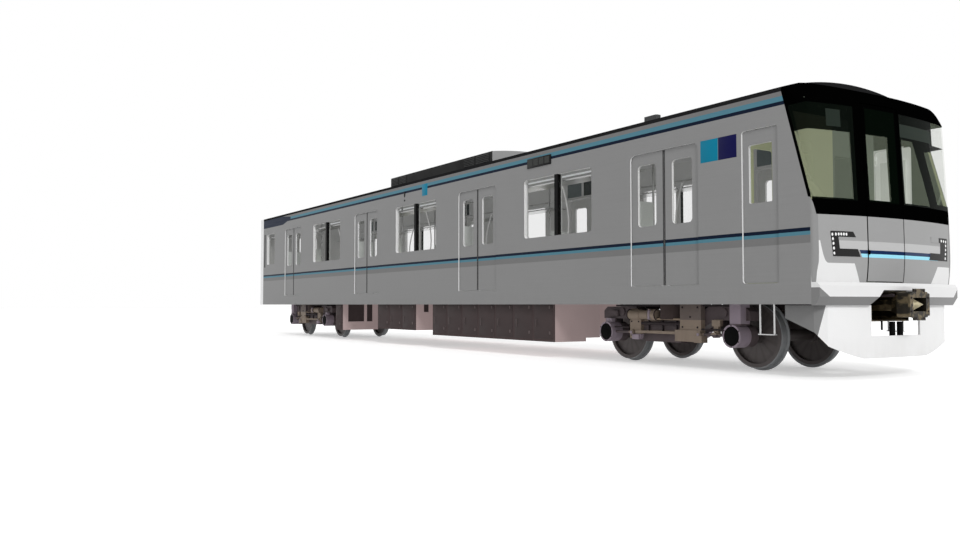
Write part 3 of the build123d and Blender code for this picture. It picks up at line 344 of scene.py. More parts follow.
BODY_GREY = srgb(141, 141, 141)
PAINTED_SHADE_GREY = srgb(122, 122, 122)
# Painted highlight for the returns of the openings and the edges of the doors
EDGE_HIGHLIGHT_WHITE = srgb(235, 235, 235)
WHITE_PAINT = srgb(229, 229, 229)
PANEL_GREY = srgb(157, 157, 157)
BLACK = srgb(2, 2, 2)
TEAL = srgb(84, 130, 146)
NAVY = srgb(12, 24, 44)
STRIPE_DARK = srgb(30, 48, 84)
STRIPE_PALE = srgb(158, 226, 246)
DARK_GREEN = srgb(5, 10, 6)
PANE_TINT = srgb(96, 102, 100)
CAB_LIGHT = srgb(195, 198, 192)
CAB_GREEN = srgb(85, 92, 82)
CAB_YELLOW = srgb(138, 142, 113)

# Stripes: height of the lower edge, height of the upper edge, colour
# The grey bands below the lower stripes and along the roof's shoulder are painted shade
SIDE_STRIPES = (
    (1.574, 1.666, PAINTED_SHADE_GREY), (1.666, 1.709, TEAL), (1.709, 1.752, NAVY),
    (3.223, 3.268, NAVY), (3.268, 3.330, TEAL), (3.330, 3.387, PAINTED_SHADE_GREY),
)
FRONT_STRIPES = ((1.505, 1.607, srgb(188, 188, 188)), (1.462, 1.505, STRIPE_DARK),
                 (1.420, 1.462, STRIPE_PALE))

# Sunk hatches in the front faces of the underfloor cases: face X, low Y, high Y, low Z
CASE_HATCHES = ((-3.978, -1.139, -0.713, 0.452), (-3.978, -0.635, -0.488, 0.452),
                (-0.150, -1.095, -0.985, 0.714))


def wall_mullions(made):
    """Navy rear patch, painted highlight on the returns of the openings, the cab's lining with a painted glow
    on its pale part, and black posts between panes.
    """
    patch_front, patch_full = -7.44, -8.07
    ramp = made.soft(made.x, patch_front, patch_full)
    low = made.minus(3.272, made.times(ramp, 0.122))
    high = made.plus(3.33, made.times(ramp, 0.057))
    patch = made.both(made.below(made.x, patch_front), made.above(made.z, low), made.below(made.z, high))
    made.paint(patch, srgb(12, 26, 48))
    # Painted highlight on the returns of the openings
    made.paint(made.below(made.outward(), HALF_WIDTH - 0.0008), EDGE_HIGHLIGHT_WHITE)
    green_x, green_z = 9.045, 3.02
    inside = made.both(made.below(made.outward(), 1.33), made.above(made.x, 8.6))
    made.paint(inside, CAB_LIGHT)
    made.paint(made.both(inside, made.either(made.above(made.x, green_x), made.above(made.z, green_z))),
               CAB_GREEN)
    # Painted glow on the pale part of the cab's lining
    made.light_up(made.both(inside, made.below(made.x, green_x), made.below(made.z, green_z)), CAB_LIGHT)
    post_half, pane_low, pane_high = 0.0462, 1.979, 2.961
    post = made.below(made.wrapped(made.x, 0.0, DOOR_PITCH), post_half)
    made.paint(made.both(post, made.band(made.z, pane_low, pane_high)), srgb(14, 14, 14))


def leaf_panes(made):
    """Painted highlight on the edges, and the rounded pane of every sliding leaf."""
    # Painted highlight on the leaf's edges
    made.paint(made.below(made.outward(), 1.3625), EDGE_HIGHLIGHT_WHITE)
    offset = made.wrapped(made.x, DOOR_PITCH / 2, DOOR_PITCH)
    made.see_through(made.rounded(offset, made.z, (0.336, 2.395), (0.1833, 0.4348), 0.06), PANE_TINT, 0.12)


def cab_door_pane(made):
    """Painted highlight on the edges, painted glow on the inner face, and pane of a cab door."""
    # Painted highlight on the door's edges
    made.paint(made.below(made.outward(), 1.3685), EDGE_HIGHLIGHT_WHITE)
    # Painted glow on the door's inner face
    made.light_up(made.below(made.outward(), 1.3365), CAB_LIGHT)
    made.see_through(made.rounded(made.x, made.z, (8.877, 2.4615), (0.1748, 0.3583), 0.02), PANE_TINT, 0.12)


def brushed(name, extra=None):
    """Brushed aluminium of the body sides with its film stripes, and painted shade in grey bands below the
    lower stripes and on the roof's shoulder.
    """
    made = Finish(name, BODY_GREY, 0.42)
    made.mottle(0.9, 0.05, (3, 1, 1)).mottle(0.012, 0.03, (40, 1, 1))
    for low, high, colour in SIDE_STRIPES:
        made.paint(made.band(made.z, low, high), colour)
    if extra:
        extra(made)
    made.grime(0.87, 1.1, srgb(112, 108, 104), 0.08)
    made.grain(0.006, 0.00003, (60, 1, 1)).grain(0.8, 0.0012, (2, 1, 1))
    return made.polish(0.0, 0.05).done()


def ahead_of_rake(made):
    """1 ahead of the mask's raked rear edge."""
    slope = (RAKE_HIGH[0] - RAKE_LOW[0]) / (RAKE_HIGH[1] - RAKE_LOW[1])
    edge = made.plus(made.times(made.minus(made.z, RAKE_LOW[1]), slope), RAKE_LOW[0])
    return made.above(made.x, edge)


def mask_paint():
    """Black mask, grey like the sides behind its raked edge, with the cab's colours on its inner faces."""
    made = Finish("black_gloss_mask", BLACK, 0.5)
    made.mottle(0.5, 0.05)
    slant = made.minus(made.outward(), made.times(made.z, 0.26))
    made.paint(made.both(made.above(slant, 0.844), made.below(made.z, 2.3),
                         made.outside(ahead_of_rake(made))),
               BODY_GREY)
    from_axis = made.length(made.y, made.minus(made.x, NOSE_X - BOW_RADIUS))
    reach = made.plus(from_axis, made.times(made.z, NOSE_LEAN))
    face = BOW_RADIUS + NOSE_LEAN * BREAK_Z
    made.paint(made.both(made.below(reach, face - 0.062), made.below(made.outward(), 1.35),
                         made.below(made.z, 3.27)),
               CAB_GREEN)
    edge = made.plus(made.x, made.times(made.z, 0.2745))
    made.paint(made.both(made.between(edge, 10.1788, 0.004), made.band(made.outward(), 1.30, 1.385),
                         made.band(made.z, CLEAR_LOW_Z, CLEAR_HIGH_Z)), CAB_YELLOW)
    made.paint(made.both(made.below(made.y, -1.0), made.below(made.outward(), 1.385),
                         made.band(made.z, 2.07, CLEAR_HIGH_Z), made.below(reach, face - 0.012)), CAB_YELLOW)
    made.grain(0.3, 0.0003)
    return made.polish(0.0, 0.0).done()


def front_paint():
    """Lower front: satin grey with a band between the lamps, white corners below, the sides' grey beside."""
    made = Finish("front_satin_grey", PANEL_GREY, 0.42)
    made.mottle(0.5, 0.04)
    z, width = made.z, made.outward()
    middle = made.band(made.y, -1.10, 1.20)
    slant = made.plus(made.y, made.times(z, 0.5))
    stripe = made.both(made.above(slant, 0.045), made.below(made.minus(made.y, z), -0.47))
    for number, (low, high, colour) in enumerate(FRONT_STRIPES):
        made.paint(made.both(made.band(z, low, high), stripe if number else middle), colour)
    # White corners: all that is outside a line which steps down towards the middle, further out on the left
    top_z, outer_top_z = 1.346, 1.60
    left = made.above(made.y, 0.0)
    step = made.times(made.soft(z, 1.11, top_z), made.plus(0.11, made.times(left, 0.06)))
    edge = made.plus(made.plus(0.675, made.times(left, 0.10)), step)
    low = made.both(made.below(z, top_z), made.above(width, edge))
    rise = made.plus(1.17, made.times(made.math("POWER", made.soft(z, top_z, outer_top_z), 0.4), 0.125))
    outer = made.both(made.above(width, rise), made.below(z, outer_top_z), made.outside(left))
    made.paint(made.either(low, outer), WHITE_PAINT)
    side = made.plus(1.315, made.times(made.outside(made.soft(z, 1.25, 1.36)), 0.018))
    made.paint(made.above(width, side), BODY_GREY)
    made.grime(1.0, 1.2, srgb(150, 144, 138), 0.15)
    made.grain(0.004, 0.00002)
    return made.polish(0.0, 0.15).done()


def nose_door_paint():
    """Emergency door: black above the waist with a tinted window, the front's paint below."""
    made = Finish("emergency_door_paint", PANEL_GREY, 0.42)
    made.mottle(0.5, 0.04)
    for low, high, colour in FRONT_STRIPES:
        made.paint(made.band(made.z, low, high), colour)
    made.paint(made.above(made.z, BREAK_Z), BLACK)
    made.paint(made.either(made.below(made.y, -0.5535), made.above(made.y, 0.1135)), BLACK)
    window = made.both(made.between(made.y, -0.22, 0.2795), made.band(made.z, 2.0805, 3.1995))
    clear = made.both(window, made.between(made.y, -0.33, 0.225),
                      made.band(made.z, CLEAR_LOW_Z, CLEAR_HIGH_Z))
    made.paint(window, DARK_GREEN)
    made.see_through(clear, srgb(150, 160, 140), 0.2)
    made.grain(0.004, 0.00002)
    return made.polish(0.0, 0.0).done()


def bumper_paint():
    """White bumper, with painted shade in grey on its slanted underside and its ends."""
    made = Finish("bumper_enamel", WHITE_PAINT, 0.35)
    made.mottle(0.4, 0.04)
    width, z = made.outward(), made.z
    # Painted shade on the slanted underside
    made.paint(made.below(z, 0.9605), srgb(128, 128, 128))
    end = made.plus(1.25, made.times(made.soft(z, 0.96, 1.08), 0.16))
    # Painted shade on the bumper's ends
    made.paint(made.above(width, end), srgb(126, 126, 126))
    made.grain(0.004, 0.00002)
    return made.polish(0.0, 0.2).done()


def skirt_paint():
    """White skirt plate with painted shade in grey on its returns towards the wheels."""
    made = Finish("skirt_enamel", srgb(237, 237, 237), 0.35)
    made.mottle(0.5, 0.05)
    slant = made.plus(made.outward(), made.times(made.z, 0.16))
    # Painted shade on the skirt's returns
    made.paint(made.above(slant, 1.329), srgb(124, 124, 124))
    made.grime(0.24, 0.5, srgb(196, 192, 188), 0.2)
    made.grain(0.004, 0.00002)
    return made.polish(0.0, 0.2).done()


def plain(name, colour, rough, metal=0.0, mottle=(0.3, 0.08), grain=(0.004, 0.00003), grime=None, coat=0.0,
          shine=0.5, glow=0.0):
    """One colour with its mottle and grain, grime where it is asked for, and painted glow where it is asked
    for.
    """
    made = Finish(name, colour, rough, metal)
    made.mottle(*mottle)
    if grime:
        made.grime(*grime)
    return made.grain(*grain).glow(glow).polish(coat, shine).done()


def glass(name, colour, alpha, dark=None):
    """Thin pane, clear but for alpha. Where the dark mask is 1 it has that mask's tint and its alpha."""
    made = Finish(name, colour, 0.06)
    made.mottle(0.7, 0.06)
    solid = alpha
    if dark:
        mask, tint, dark_alpha = dark
        area = mask(made)
        made.paint(area, tint)
        solid = made.plus(made.times(area, dark_alpha), made.times(made.outside(area), alpha))
    made.feed(made.shader.inputs["Alpha"], made.times(solid, made.facing_out()))
    made.grain(0.4, 0.0001)
    return made.polish(0.0, 0.01).done()


def case_paint():
    """Underfloor cases: mauve grey, with painted shade on their long sides and in their hatches, a painted
    glow, and dirt towards the bottom.
    """
    made = Finish("case_mauve_grey", srgb(145, 129, 128), 0.7)
    made.mottle(0.4, 0.1)
    # Painted shade on the long sides
    made.paint(made.above(made.outward(), 1.279), srgb(56, 48, 48))
    # Painted shade in the sunk hatches
    for face_x, low_y, high_y, low_z in CASE_HATCHES:
        sunk = made.both(made.band(made.x, face_x - 0.085, face_x - 0.001),
                         made.band(made.y, low_y - 0.001, high_y + 0.001),
                         made.band(made.z, low_z - 0.001, 0.9))
        made.paint(sunk, srgb(48, 41, 41))
    made.grime(0.2, 0.7, srgb(92, 78, 74), 0.12)
    made.grain(0.004, 0.00004)
    # Painted glow that lifts the cases out of the shade below the car
    return made.glow(0.6).polish(0.0, 0.05).done()


def wheel_paint():
    """Wheel steel: dusty brown grey with rays of painted shade on the web, bright on the tread and flange,
    dark at the hub.
    """
    made = Finish("wheel_steel", srgb(86, 80, 79), 0.55, 0.3)
    made.mottle(0.05, 0.3)
    along = made.minus(made.apart(made.math("ABSOLUTE", made.x), BOGIE_X), WHEELBASE / 2)
    up = made.minus(made.z, AXLE_Z)
    radius = made.length(along, up)
    # Painted shade in rays across the wheel's web
    rays = made.math("SINE", made.times(made.math("ARCTAN2", up, along), 14.0))
    ray_shade = made.both(made.soft(rays, 0.0, 1.0), made.band(radius, 0.12, 0.37))
    made.paint(made.times(ray_shade, 0.35), srgb(62, 55, 54))
    made.paint(made.band(radius, 0.0, 0.085), srgb(58, 52, 50))
    made.paint(made.above(radius, 0.418), srgb(134, 136, 138))
    made.grain(0.006, 0.0001)
    return made.done()


def bogie_zones():
    """Bogie: dark brown grey beams, tan brackets and cylinders with painted shade on the big bracket's upper
    part, lilac grey axle boxes.
    """
    made = Finish("bogie_dusty_paint", srgb(88, 78, 80), 0.6)
    made.mottle(0.12, 0.3)
    along = made.minus(made.math("ABSOLUTE", made.x), BOGIE_X)
    z, width = made.z, made.outward()
    tan, shaded_tan, lilac = srgb(146, 131, 117), srgb(112, 101, 96), srgb(158, 145, 156)
    outer = made.above(width, 0.944)
    # The big bracket's upper part has painted shade in a darker tan
    for low_x, high_x, low_z, high_z, colour in (
            (0.27, 0.66, 0.53, 0.66, tan), (0.27, 0.66, 0.66, 0.875, shaded_tan), (0.18, 0.70, 0.35, 0.54, tan),
            (-0.79, -0.54, 0.37, 0.71, tan), (-0.64, 0.20, 0.45, 0.50, tan), (-0.82, -0.20, 0.63, 0.81, tan),
            (0.82, 0.98, 0.47, 0.67, tan), (-0.74, -0.54, 0.35, 0.44, lilac)):
        made.paint(made.both(outer, made.band(along, low_x, high_x), made.band(z, low_z, high_z)), colour)
    made.paint(made.both(made.above(width, 0.869), made.band(along, 1.175, 1.365), made.band(z, 0.62, 0.875)),
               lilac)
    from_axle = made.length(made.minus(made.math("ABSOLUTE", along), WHEELBASE / 2), made.minus(z, AXLE_Z))
    made.paint(made.both(made.below(from_axle, 0.152), made.above(width, 0.87)), lilac)
    made.grime(0.3, 0.7, srgb(66, 56, 56), 0.35)
    made.grain(0.01, 0.0002)
    return made.polish(0.0, 0.2).done()


def bulkhead_paint():
    """Wall behind the driver: pale yellow grey towards the middle, grey green to the left, and a painted glow
    all over.
    """
    made = Finish("bulkhead_laminate", CAB_YELLOW, 0.5)
    made.mottle(0.4, 0.04)
    made.paint(made.above(made.y, 0.41), CAB_GREEN)
    made.paint(made.below(made.x, 8.5655), srgb(186, 188, 182))
    made.grain(0.004, 0.00002)
    # Painted glow on the wall, which is no lamp
    return made.glow(0.6).polish(0.0, 0.1).done()


def air_con_paint():
    """Air conditioner: pale top and ends, dark louvred sides."""
    made = Finish("air_con_grey", srgb(168, 168, 168), 0.6)
    made.mottle(0.3, 0.06)
    made.paint(made.above(made.outward(), 0.893), srgb(34, 34, 34))
    made.grain(0.004, 0.00003)
    return made.polish(0.0, 0.1).done()


def coupler_paint():
    """Oily iron with near black blots, painted shade in the cup round the cone, and a painted highlight and
    painted glow on the cone.
    """
    made = Finish("coupler_iron", srgb(96, 84, 62), 0.4, 0.5)
    made.mottle(0.03, 0.9)
    blots = made.soft(made.noise(0.05, (3, 1, 1)), 0.46, 0.53)
    made.paint(made.times(blots, 0.9), srgb(16, 13, 9))
    ends = made.math("ABSOLUTE", made.x)
    cone = made.both(made.band(ends, 9.90, 9.985), made.between(made.y, -0.05, 0.062),
                     made.between(made.z, COUPLER_Z, 0.073))
    # Painted highlight and painted glow on the cone
    made.paint(cone, srgb(205, 196, 168))
    made.light_up(cone, srgb(190, 180, 150))
    cup = made.both(made.above(ends, 9.894), made.between(made.y, 0.0, 0.131),
                    made.between(made.z, COUPLER_Z, 0.081),
                    made.outside(cone))
    # Painted shade in the cup round the cone
    made.paint(cup, srgb(14, 12, 10))
    made.grain(0.01, 0.0003)
    return made.done()


def dark_band(made):
    """Tinted part of the nose's glass: all that is not one of the clear windows."""
    y, z = made.y, made.z
    height = made.band(z, CLEAR_LOW_Z, CLEAR_HIGH_Z)
    slope = made.plus(y, made.times(z, 0.455))
    clear = made.both(height, made.below(y, -0.765))
    door = made.both(height, made.band(y, -0.555, -0.105))
    inner = made.both(height, made.above(y, 0.185), made.below(slope, 1.745))
    quarter = made.both(made.above(z, 2.14), made.band(slope, 1.985, 2.75),
                        made.below(made.minus(z, made.times(y, 0.194)), 2.64))
    corner = made.both(made.band(z, 2.90, 3.20), made.above(y, 0.97))
    for area in (door, inner, quarter, corner):
        clear = made.either(clear, area)
    return made.outside(clear)


finishes = {
    "body_paint": brushed("brushed_aluminium", wall_mullions),
    "leaf_paint": brushed("brushed_door_leaf", leaf_panes),
    "front_paint": front_paint(),
    "black_gloss": mask_paint(),
    "cab_window": glass("nose_glass", srgb(150, 160, 140), 0.2, (dark_band, DARK_GREEN, 0.975)),
    "window": glass("saloon_glass", srgb(120, 125, 122), 0.10),
    "white_paint": plain("white_enamel", WHITE_PAINT, 0.3, grime=(0.25, 0.9, srgb(130, 120, 110), 0.2),
                         coat=0.2),
    "roof_paint": plain("roof_dark_grey", srgb(36, 36, 37), 0.8, mottle=(0.6, 0.2), grain=(0.01, 0.0002),
                        shine=0.0),
    # Painted glow on the lining, which is no lamp
    "lining": plain("lining_laminate", srgb(148, 148, 147), 0.5, glow=0.35),
    "floor_cover": plain("floor_speckle", srgb(105, 103, 100), 0.6, mottle=(0.01, 0.35)),
    "gangway_rubber": plain("gangway_rubber", srgb(60, 60, 62), 0.75),
    "coupler_steel": plain("coupler_dark_iron", srgb(70, 62, 48), 0.55, 0.5, mottle=(0.05, 0.5),
                           grain=(0.01, 0.0003)),
    "under_paint": plain("underframe_paint", srgb(62, 55, 55), 0.7, mottle=(0.2, 0.3)),
    "cab_panel": bulkhead_paint(),
    "desk_plastic": plain("dark_plastic", srgb(45, 47, 48), 0.55),
    # Painted glow on the seat cloth, which is no lamp
    "seat_fabric": plain("seat_moquette", srgb(186, 182, 134), 0.9, mottle=(0.008, 0.25),
                         grain=(0.003, 0.0004),
                         shine=0.1, glow=0.1),
    "steel": plain("satin_steel", srgb(190, 190, 190), 0.3, 0.9),
    "case_paint": case_paint(),
    "air_con_paint": air_con_paint(),
    "bogie_paint": bogie_zones(),
    "spring_rubber": plain("spring_rubber", srgb(35, 34, 34), 0.8),
    "wheel_steel": wheel_paint(),
}

own_finishes = {
    "nose_door": nose_door_paint(),
    "end_wall": plain("end_wall_grey", BODY_GREY, 0.42, mottle=(0.9, 0.05), grain=(0.006, 0.00003),
                      shine=0.05),
    "bumper": bumper_paint(),
    "skirt": skirt_paint(),
    "lamp_housings": plain("lamp_housing_black", srgb(26, 26, 26), 0.45, shine=0.15),
    # Painted glow on the bulkhead door, which is no lamp
    "bulkhead_door": plain("bulkhead_door_laminate", CAB_YELLOW, 0.5, glow=0.6, shine=0.1),
    "air_springs_rear": plain("air_spring_rubber", srgb(74, 64, 62), 0.8, shine=0.1),
    # Painted glow on the seat panels, which are no lamps
    "seat_frames": plain("seat_panel_white", srgb(196, 199, 196), 0.4, glow=0.2),
    "couplers": coupler_paint(),
    "cab_door_right": brushed("brushed_cab_door", cab_door_pane),
}
own_finishes["cab_door_left"] = own_finishes["cab_door_right"]
own_finishes["air_springs_front"] = own_finishes["air_springs_rear"]

slots = {part["node"]: part["material_slot"] for part in frame["record"]["subparts"]}
for name, cad in nodes.items():
    for place in range(max(1, len(cad.material_slots))):
        if not cad.material_slots:
            cad.data.materials.append(None)
        cad.material_slots[place].material = own_finishes.get(name) or finishes[slots[name]]


# Modelling helpers
def lone(piece):
    """Selects one piece alone, in object mode."""
    if bpy.context.object and bpy.context.object.mode != "OBJECT":
        bpy.ops.object.mode_set(mode="OBJECT")
    bpy.ops.object.select_all(action="DESELECT")
    if piece:
        piece.select_set(True)
        bpy.context.view_layer.objects.active = piece
    return piece


def start(kind, name, **settings):
    """Adds a primitive by itself."""
    lone(None)
    getattr(bpy.ops.mesh, f"primitive_{kind}_add")(**settings)
    piece = bpy.context.object
    piece.name = name
    return piece


def settle(piece):
    """Puts a piece's place and turn into its mesh."""
    lone(piece)
    bpy.ops.object.transform_apply(location=True, rotation=True, scale=True)
    return piece


def edit(piece, mode="FACE"):
    """Opens a piece for edits with nothing selected, and closes it again."""
    lone(piece)
    bpy.ops.object.mode_set(mode="EDIT")
    bpy.ops.mesh.select_mode(type=mode)
    bpy.ops.mesh.select_all(action="DESELECT")
    bpy.ops.object.mode_set(mode="OBJECT")


def pick_faces(piece, wanted):
    """Selects the faces whose centre and normal are wanted, and goes into edit mode."""
    edit(piece)
    for face in piece.data.polygons:
        face.select = bool(wanted(face.center, face.normal))
    bpy.ops.object.mode_set(mode="EDIT")


def round_edges(piece, width, segments=2):
    """Bevels all edges of a piece."""
    edit(piece, "EDGE")
    bpy.ops.object.mode_set(mode="EDIT")
    bpy.ops.mesh.select_all(action="SELECT")
    bpy.ops.mesh.bevel(offset=width, segments=segments, affect="EDGES")
    bpy.ops.object.mode_set(mode="OBJECT")
    return piece


def block(name, low, high, edge=0.004, segments=2):
    """Slab between two corners, its edges rounded."""
    low, high = Vector(low), Vector(high)
    piece = start("cube", name, size=1, location=(low + high) / 2)
    piece.scale = [abs(v) for v in high - low]
    settle(piece)
    return round_edges(piece, edge, segments) if edge else piece


def rod(name, begin, end, radius, vertices=20, edge=0.0):
    """Round bar between two points, its ends rounded."""
    begin, end = Vector(begin), Vector(end)
    piece = start("cylinder", name, vertices=vertices, radius=radius, depth=(end - begin).length,
                  location=(begin + end) / 2)
    piece.rotation_euler = (end - begin).to_track_quat("Z", "Y").to_euler()
    settle(piece)
    if edge:
        along = (end - begin).normalized()
        pick_faces(piece, lambda centre, normal: abs(normal.dot(along)) > 0.9)
        bpy.ops.mesh.bevel(offset=edge, segments=2, affect="EDGES")
        bpy.ops.object.mode_set(mode="OBJECT")
    return piece


def hoop(name, centre, major, minor, facets=(28, 6), turn=(0, 0, 0)):
    """Ring about a centre, lying flat unless it is turned."""
    return settle(start("torus", name, location=centre, rotation=turn, major_radius=major, minor_radius=minor,
                        major_segments=facets[0], minor_segments=facets[1]))


def ball(name, centre, radius, facets=(16, 8), factors=(1, 1, 1)):
    """Ball about a centre, pressed by a factor along each axis."""
    piece = start("uv_sphere", name, segments=facets[0], ring_count=facets[1], radius=radius, location=centre)
    piece.scale = factors
    return settle(piece)


def stretched(piece, centre, factors):
    """Stretches a settled piece about a point."""
    piece.scale = factors
    piece.location = [middle * (1 - factor) for middle, factor in zip(centre, factors)]
    return settle(piece)


def join(name, pieces):
    """Makes one named piece of several."""
    lone(pieces[0])
    for piece in pieces:
        piece.select_set(True)
    if len(pieces) > 1:
        bpy.ops.object.join()
    pieces[0].name = name
    return pieces[0]


def copied(piece, offset=(0, 0, 0), factors=(1, 1, 1)):
    """A copy of a settled piece with its own mesh, moved or mirrored."""
    lone(piece)
    bpy.ops.object.duplicate(linked=False)
    twin = bpy.context.object
    twin.location = offset
    twin.scale = factors
    return settle(twin)


def turn_out(piece):
    """Points the faces of a closed piece outwards."""
    lone(piece)
    bpy.ops.object.mode_set(mode="EDIT")
    bpy.ops.mesh.select_all(action="SELECT")
    bpy.ops.mesh.normals_make_consistent(inside=False)
    bpy.ops.object.mode_set(mode="OBJECT")
    return piece


def repeat(piece, offsets):
    """The piece and its copies, moved by each offset, as one piece."""
    return join(piece.name, [piece] + [copied(piece, offset) for offset in offsets])


def mirrored(piece):
    """The piece's mirror image across the car's middle."""
    return turn_out(copied(piece, factors=(1, -1, 1)))


def both_sides(piece):
    """The piece and its mirror image across the car's middle, as one piece."""
    return join(piece.name, [piece, mirrored(piece)])


def fit(piece, body, slot, material=None):
    """Gives a finished piece its material, taken from its slot's finish unless one is given, its smooth
    faces, and the body that it rides on.
    """
    piece.data.materials.clear()
    piece.data.materials.append(material or finishes[slot])
    lone(piece)
    bpy.ops.object.shade_smooth_by_angle(angle=math.radians(35))
    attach(piece, body)
    return piece


# Sides
DARK_PANEL = plain("sign_dark_panel", srgb(20, 20, 21), 0.4, shine=0.1)
SIGN_CELL = plain("sign_display_cell", srgb(54, 56, 54), 0.3, shine=0.1)
SEAL_BLACK = plain("seal_rubber", srgb(22, 22, 22), 0.7)
FILM_TEAL = plain("film_teal", srgb(4, 122, 152), 0.4, shine=0.1)
FILM_NAVY = plain("film_navy", srgb(6, 6, 66), 0.4, shine=0.1)


def seal_leaves():
    """Rubber edges where the leaves meet."""
    for side, sign in SIDES:
        for number, door_x in enumerate(DOOR_XS, start=1):
            for end, way in (("rear", -1), ("front", 1)):
                seal = block(f"leaf_seal_{side}_{number}_{end}",
                             (door_x + way * 0.0035, sign * 1.3635, 1.136),
                             (door_x + way * 0.021, sign * 1.367, 2.988), 0.0012, 1)
                fit(seal, f"door_leaf_{side}_{number}_{end}", "spring_rubber", SEAL_BLACK)


def plate(name, sign, low_x, high_x, low_z, high_z, proud, edge=0.001):
    """Thin plate on the outer face of a side wall."""
    return block(name, (low_x, sign * (HALF_WIDTH - 0.0005), low_z),
                 (high_x, sign * (HALF_WIDTH + proud), high_z),
                 edge)


def dress_sides():
    """Bare film squares, sign boxes with blank cells and marker lamps on the sides' outer faces."""
    for side, sign in SIDES:
        for name, low_x, high_x, low_z, high_z, proud, film in (
                ("film_square_teal", 7.93, 8.225, 2.705, 2.993, 0.0015, FILM_TEAL),
                ("film_square_navy", 8.232, 8.53, 2.705, 2.993, 0.0015, FILM_NAVY),
                ("roof_edge_tab", 0.30, 0.53, 3.085, 3.326, 0.002, FILM_TEAL)):
            fit(plate(f"{name}_{side}", sign, low_x, high_x, low_z, high_z, proud), "car_body", "body_paint",
                film)
        sign_box = plate(f"side_sign_box_{side}", sign, 4.04, 4.70, 3.145, 3.305, 0.016, 0.008)
        fit(sign_box, "car_body", "desk_plastic", DARK_PANEL)
        cells = []
        for number in range(4):
            low_x = 4.07 + number * 0.154
            cells.append(block("cell", (low_x, sign * (HALF_WIDTH + 0.0155), 3.175),
                               (low_x + 0.13, sign * (HALF_WIDTH + 0.018), 3.282), 0.001, 1))
        fit(join(f"side_sign_cells_{side}", cells), "car_body", "desk_plastic", SIGN_CELL)
        lamp_x, lamp_z, dot_z = -0.47, 3.205, 3.075
        lamp = rod("lamp", (lamp_x, sign * 1.389, lamp_z), (lamp_x, sign * 1.402, lamp_z), 0.03, 20, 0.004)
        stretched(lamp, (lamp_x, 0, lamp_z), (0.75, 1, 2.1))
        dot = rod("dot", (lamp_x, sign * 1.389, dot_z), (lamp_x, sign * 1.400, dot_z), 0.02, 16, 0.003)
        fit(join(f"side_lamps_{side}", [lamp, dot]), "car_body", "desk_plastic", DARK_PANEL)


# Nose
def nose_x_at(y, z):
    """Front face of the nose at a width and a height."""
    sill_z, floor_z, top_z = 1.56, 1.02, 3.39
    if z < sill_z:
        back = 0.044 * ((sill_z - z) / (sill_z - floor_z)) ** 2
    elif z < BREAK_Z:
        back = 0.006 * (z - sill_z) / (BREAK_Z - sill_z)
    else:
        back = 0.006 + 0.076 * (z - BREAK_Z) / (top_z - BREAK_Z)
    radius = BOW_RADIUS - back
    return NOSE_X - BOW_RADIUS + math.sqrt(radius * radius - y * y)


FRONT_PATCH = plain("front_patch_grey", PANEL_GREY, 0.42, shine=0.15)
LAMP_BLACK = own_finishes["lamp_housings"]
LED_WHITE = plain("led_lens", srgb(250, 250, 250), 0.2)
SIGN_GREY = plain("nose_sign_blank", srgb(36, 44, 38), 0.4, shine=0.03)
# Places of the lenses, as distance from the middle and height
LENS_DOTS = ((1.123, 1.673), (1.072, 1.676), (1.030, 1.678), (0.991, 1.679), (0.952, 1.680), (0.913, 1.680),
             (1.117, 1.622), (1.111, 1.569), (1.105, 1.515), (1.099, 1.458))
FAR_LENS_DOTS = ((1.195, 1.673), (1.125, 1.676), (1.055, 1.678), (1.190, 1.622), (1.184, 1.569),
                 (1.178, 1.515),
                 (1.170, 1.458))


def light_lamps():
    """Round lenses in both lamp housings."""
    for side, sign in SIDES:
        lenses = [ball("lens", (nose_x_at(y, z) + 0.0035, sign * y, z), 0.0165, factors=(0.35, 1.0, 1.1))
                  for y, z in (LENS_DOTS if sign < 0 else FAR_LENS_DOTS)]
        fit(join(f"lamp_lenses_{side}", lenses), "car_body", "white_paint", LED_WHITE)


def lamp_patches():
    """Left lamp as the photo shows it: shorter arms in the front's colours, and a wider black corner."""
    for number, (low_y, low_z, high_z, colour) in enumerate(((0.69, 1.4245, 1.4615, STRIPE_PALE),
                                                             (0.70, 1.4615, 1.5055, STRIPE_DARK))):
        paint = plain(f"stripe_patch_{number}", colour, 0.42, shine=0.1)
        nose_plate(f"stripe_end_left_{number}", low_y, 0.972, low_z, high_z, 0.0046, paint)
    nose_plate("lamp_arm_cover_left", 0.762, 0.975, 1.648, 1.7145, 0.0046, FRONT_PATCH)
    nose_plate("lamp_corner_left", 1.10, 1.245, 1.424, 1.7145, 0.0044, LAMP_BLACK)


def nose_plate(name, low_y, high_y, low_z, high_z, proud, material):
    """Thin blank plate that follows the nose."""
    piece = start("grid", name, x_subdivisions=24, y_subdivisions=6, size=1, location=(0, 0, 0))
    for vertex in piece.data.vertices:
        y = low_y + (vertex.co.x + 0.5) * (high_y - low_y)
        z = low_z + (vertex.co.y + 0.5) * (high_z - low_z)
        vertex.co = (nose_x_at(y, z) + proud, y, z)
    lone(piece)
    solid = piece.modifiers.new("thickness", "SOLIDIFY")
    solid.thickness = proud + 0.002
    solid.offset = -1
    bpy.ops.object.modifier_apply(modifier=solid.name)
    return fit(piece, "car_body", "cab_window", material)


def dress_nose():
    """Lamps and bare sign plates of the nose."""
    light_lamps()
    lamp_patches()
    nose_plate("number_plate_blank", -1.12, -0.905, 2.937, 3.14, 0.0015, SIGN_GREY)
    nose_plate("destination_plate_blank", 0.165, 0.93, 2.917, 3.08, 0.0015, SIGN_GREY)


# Roof
LOUVRE_DARK = plain("louvre_dark", srgb(20, 20, 20), 0.6)


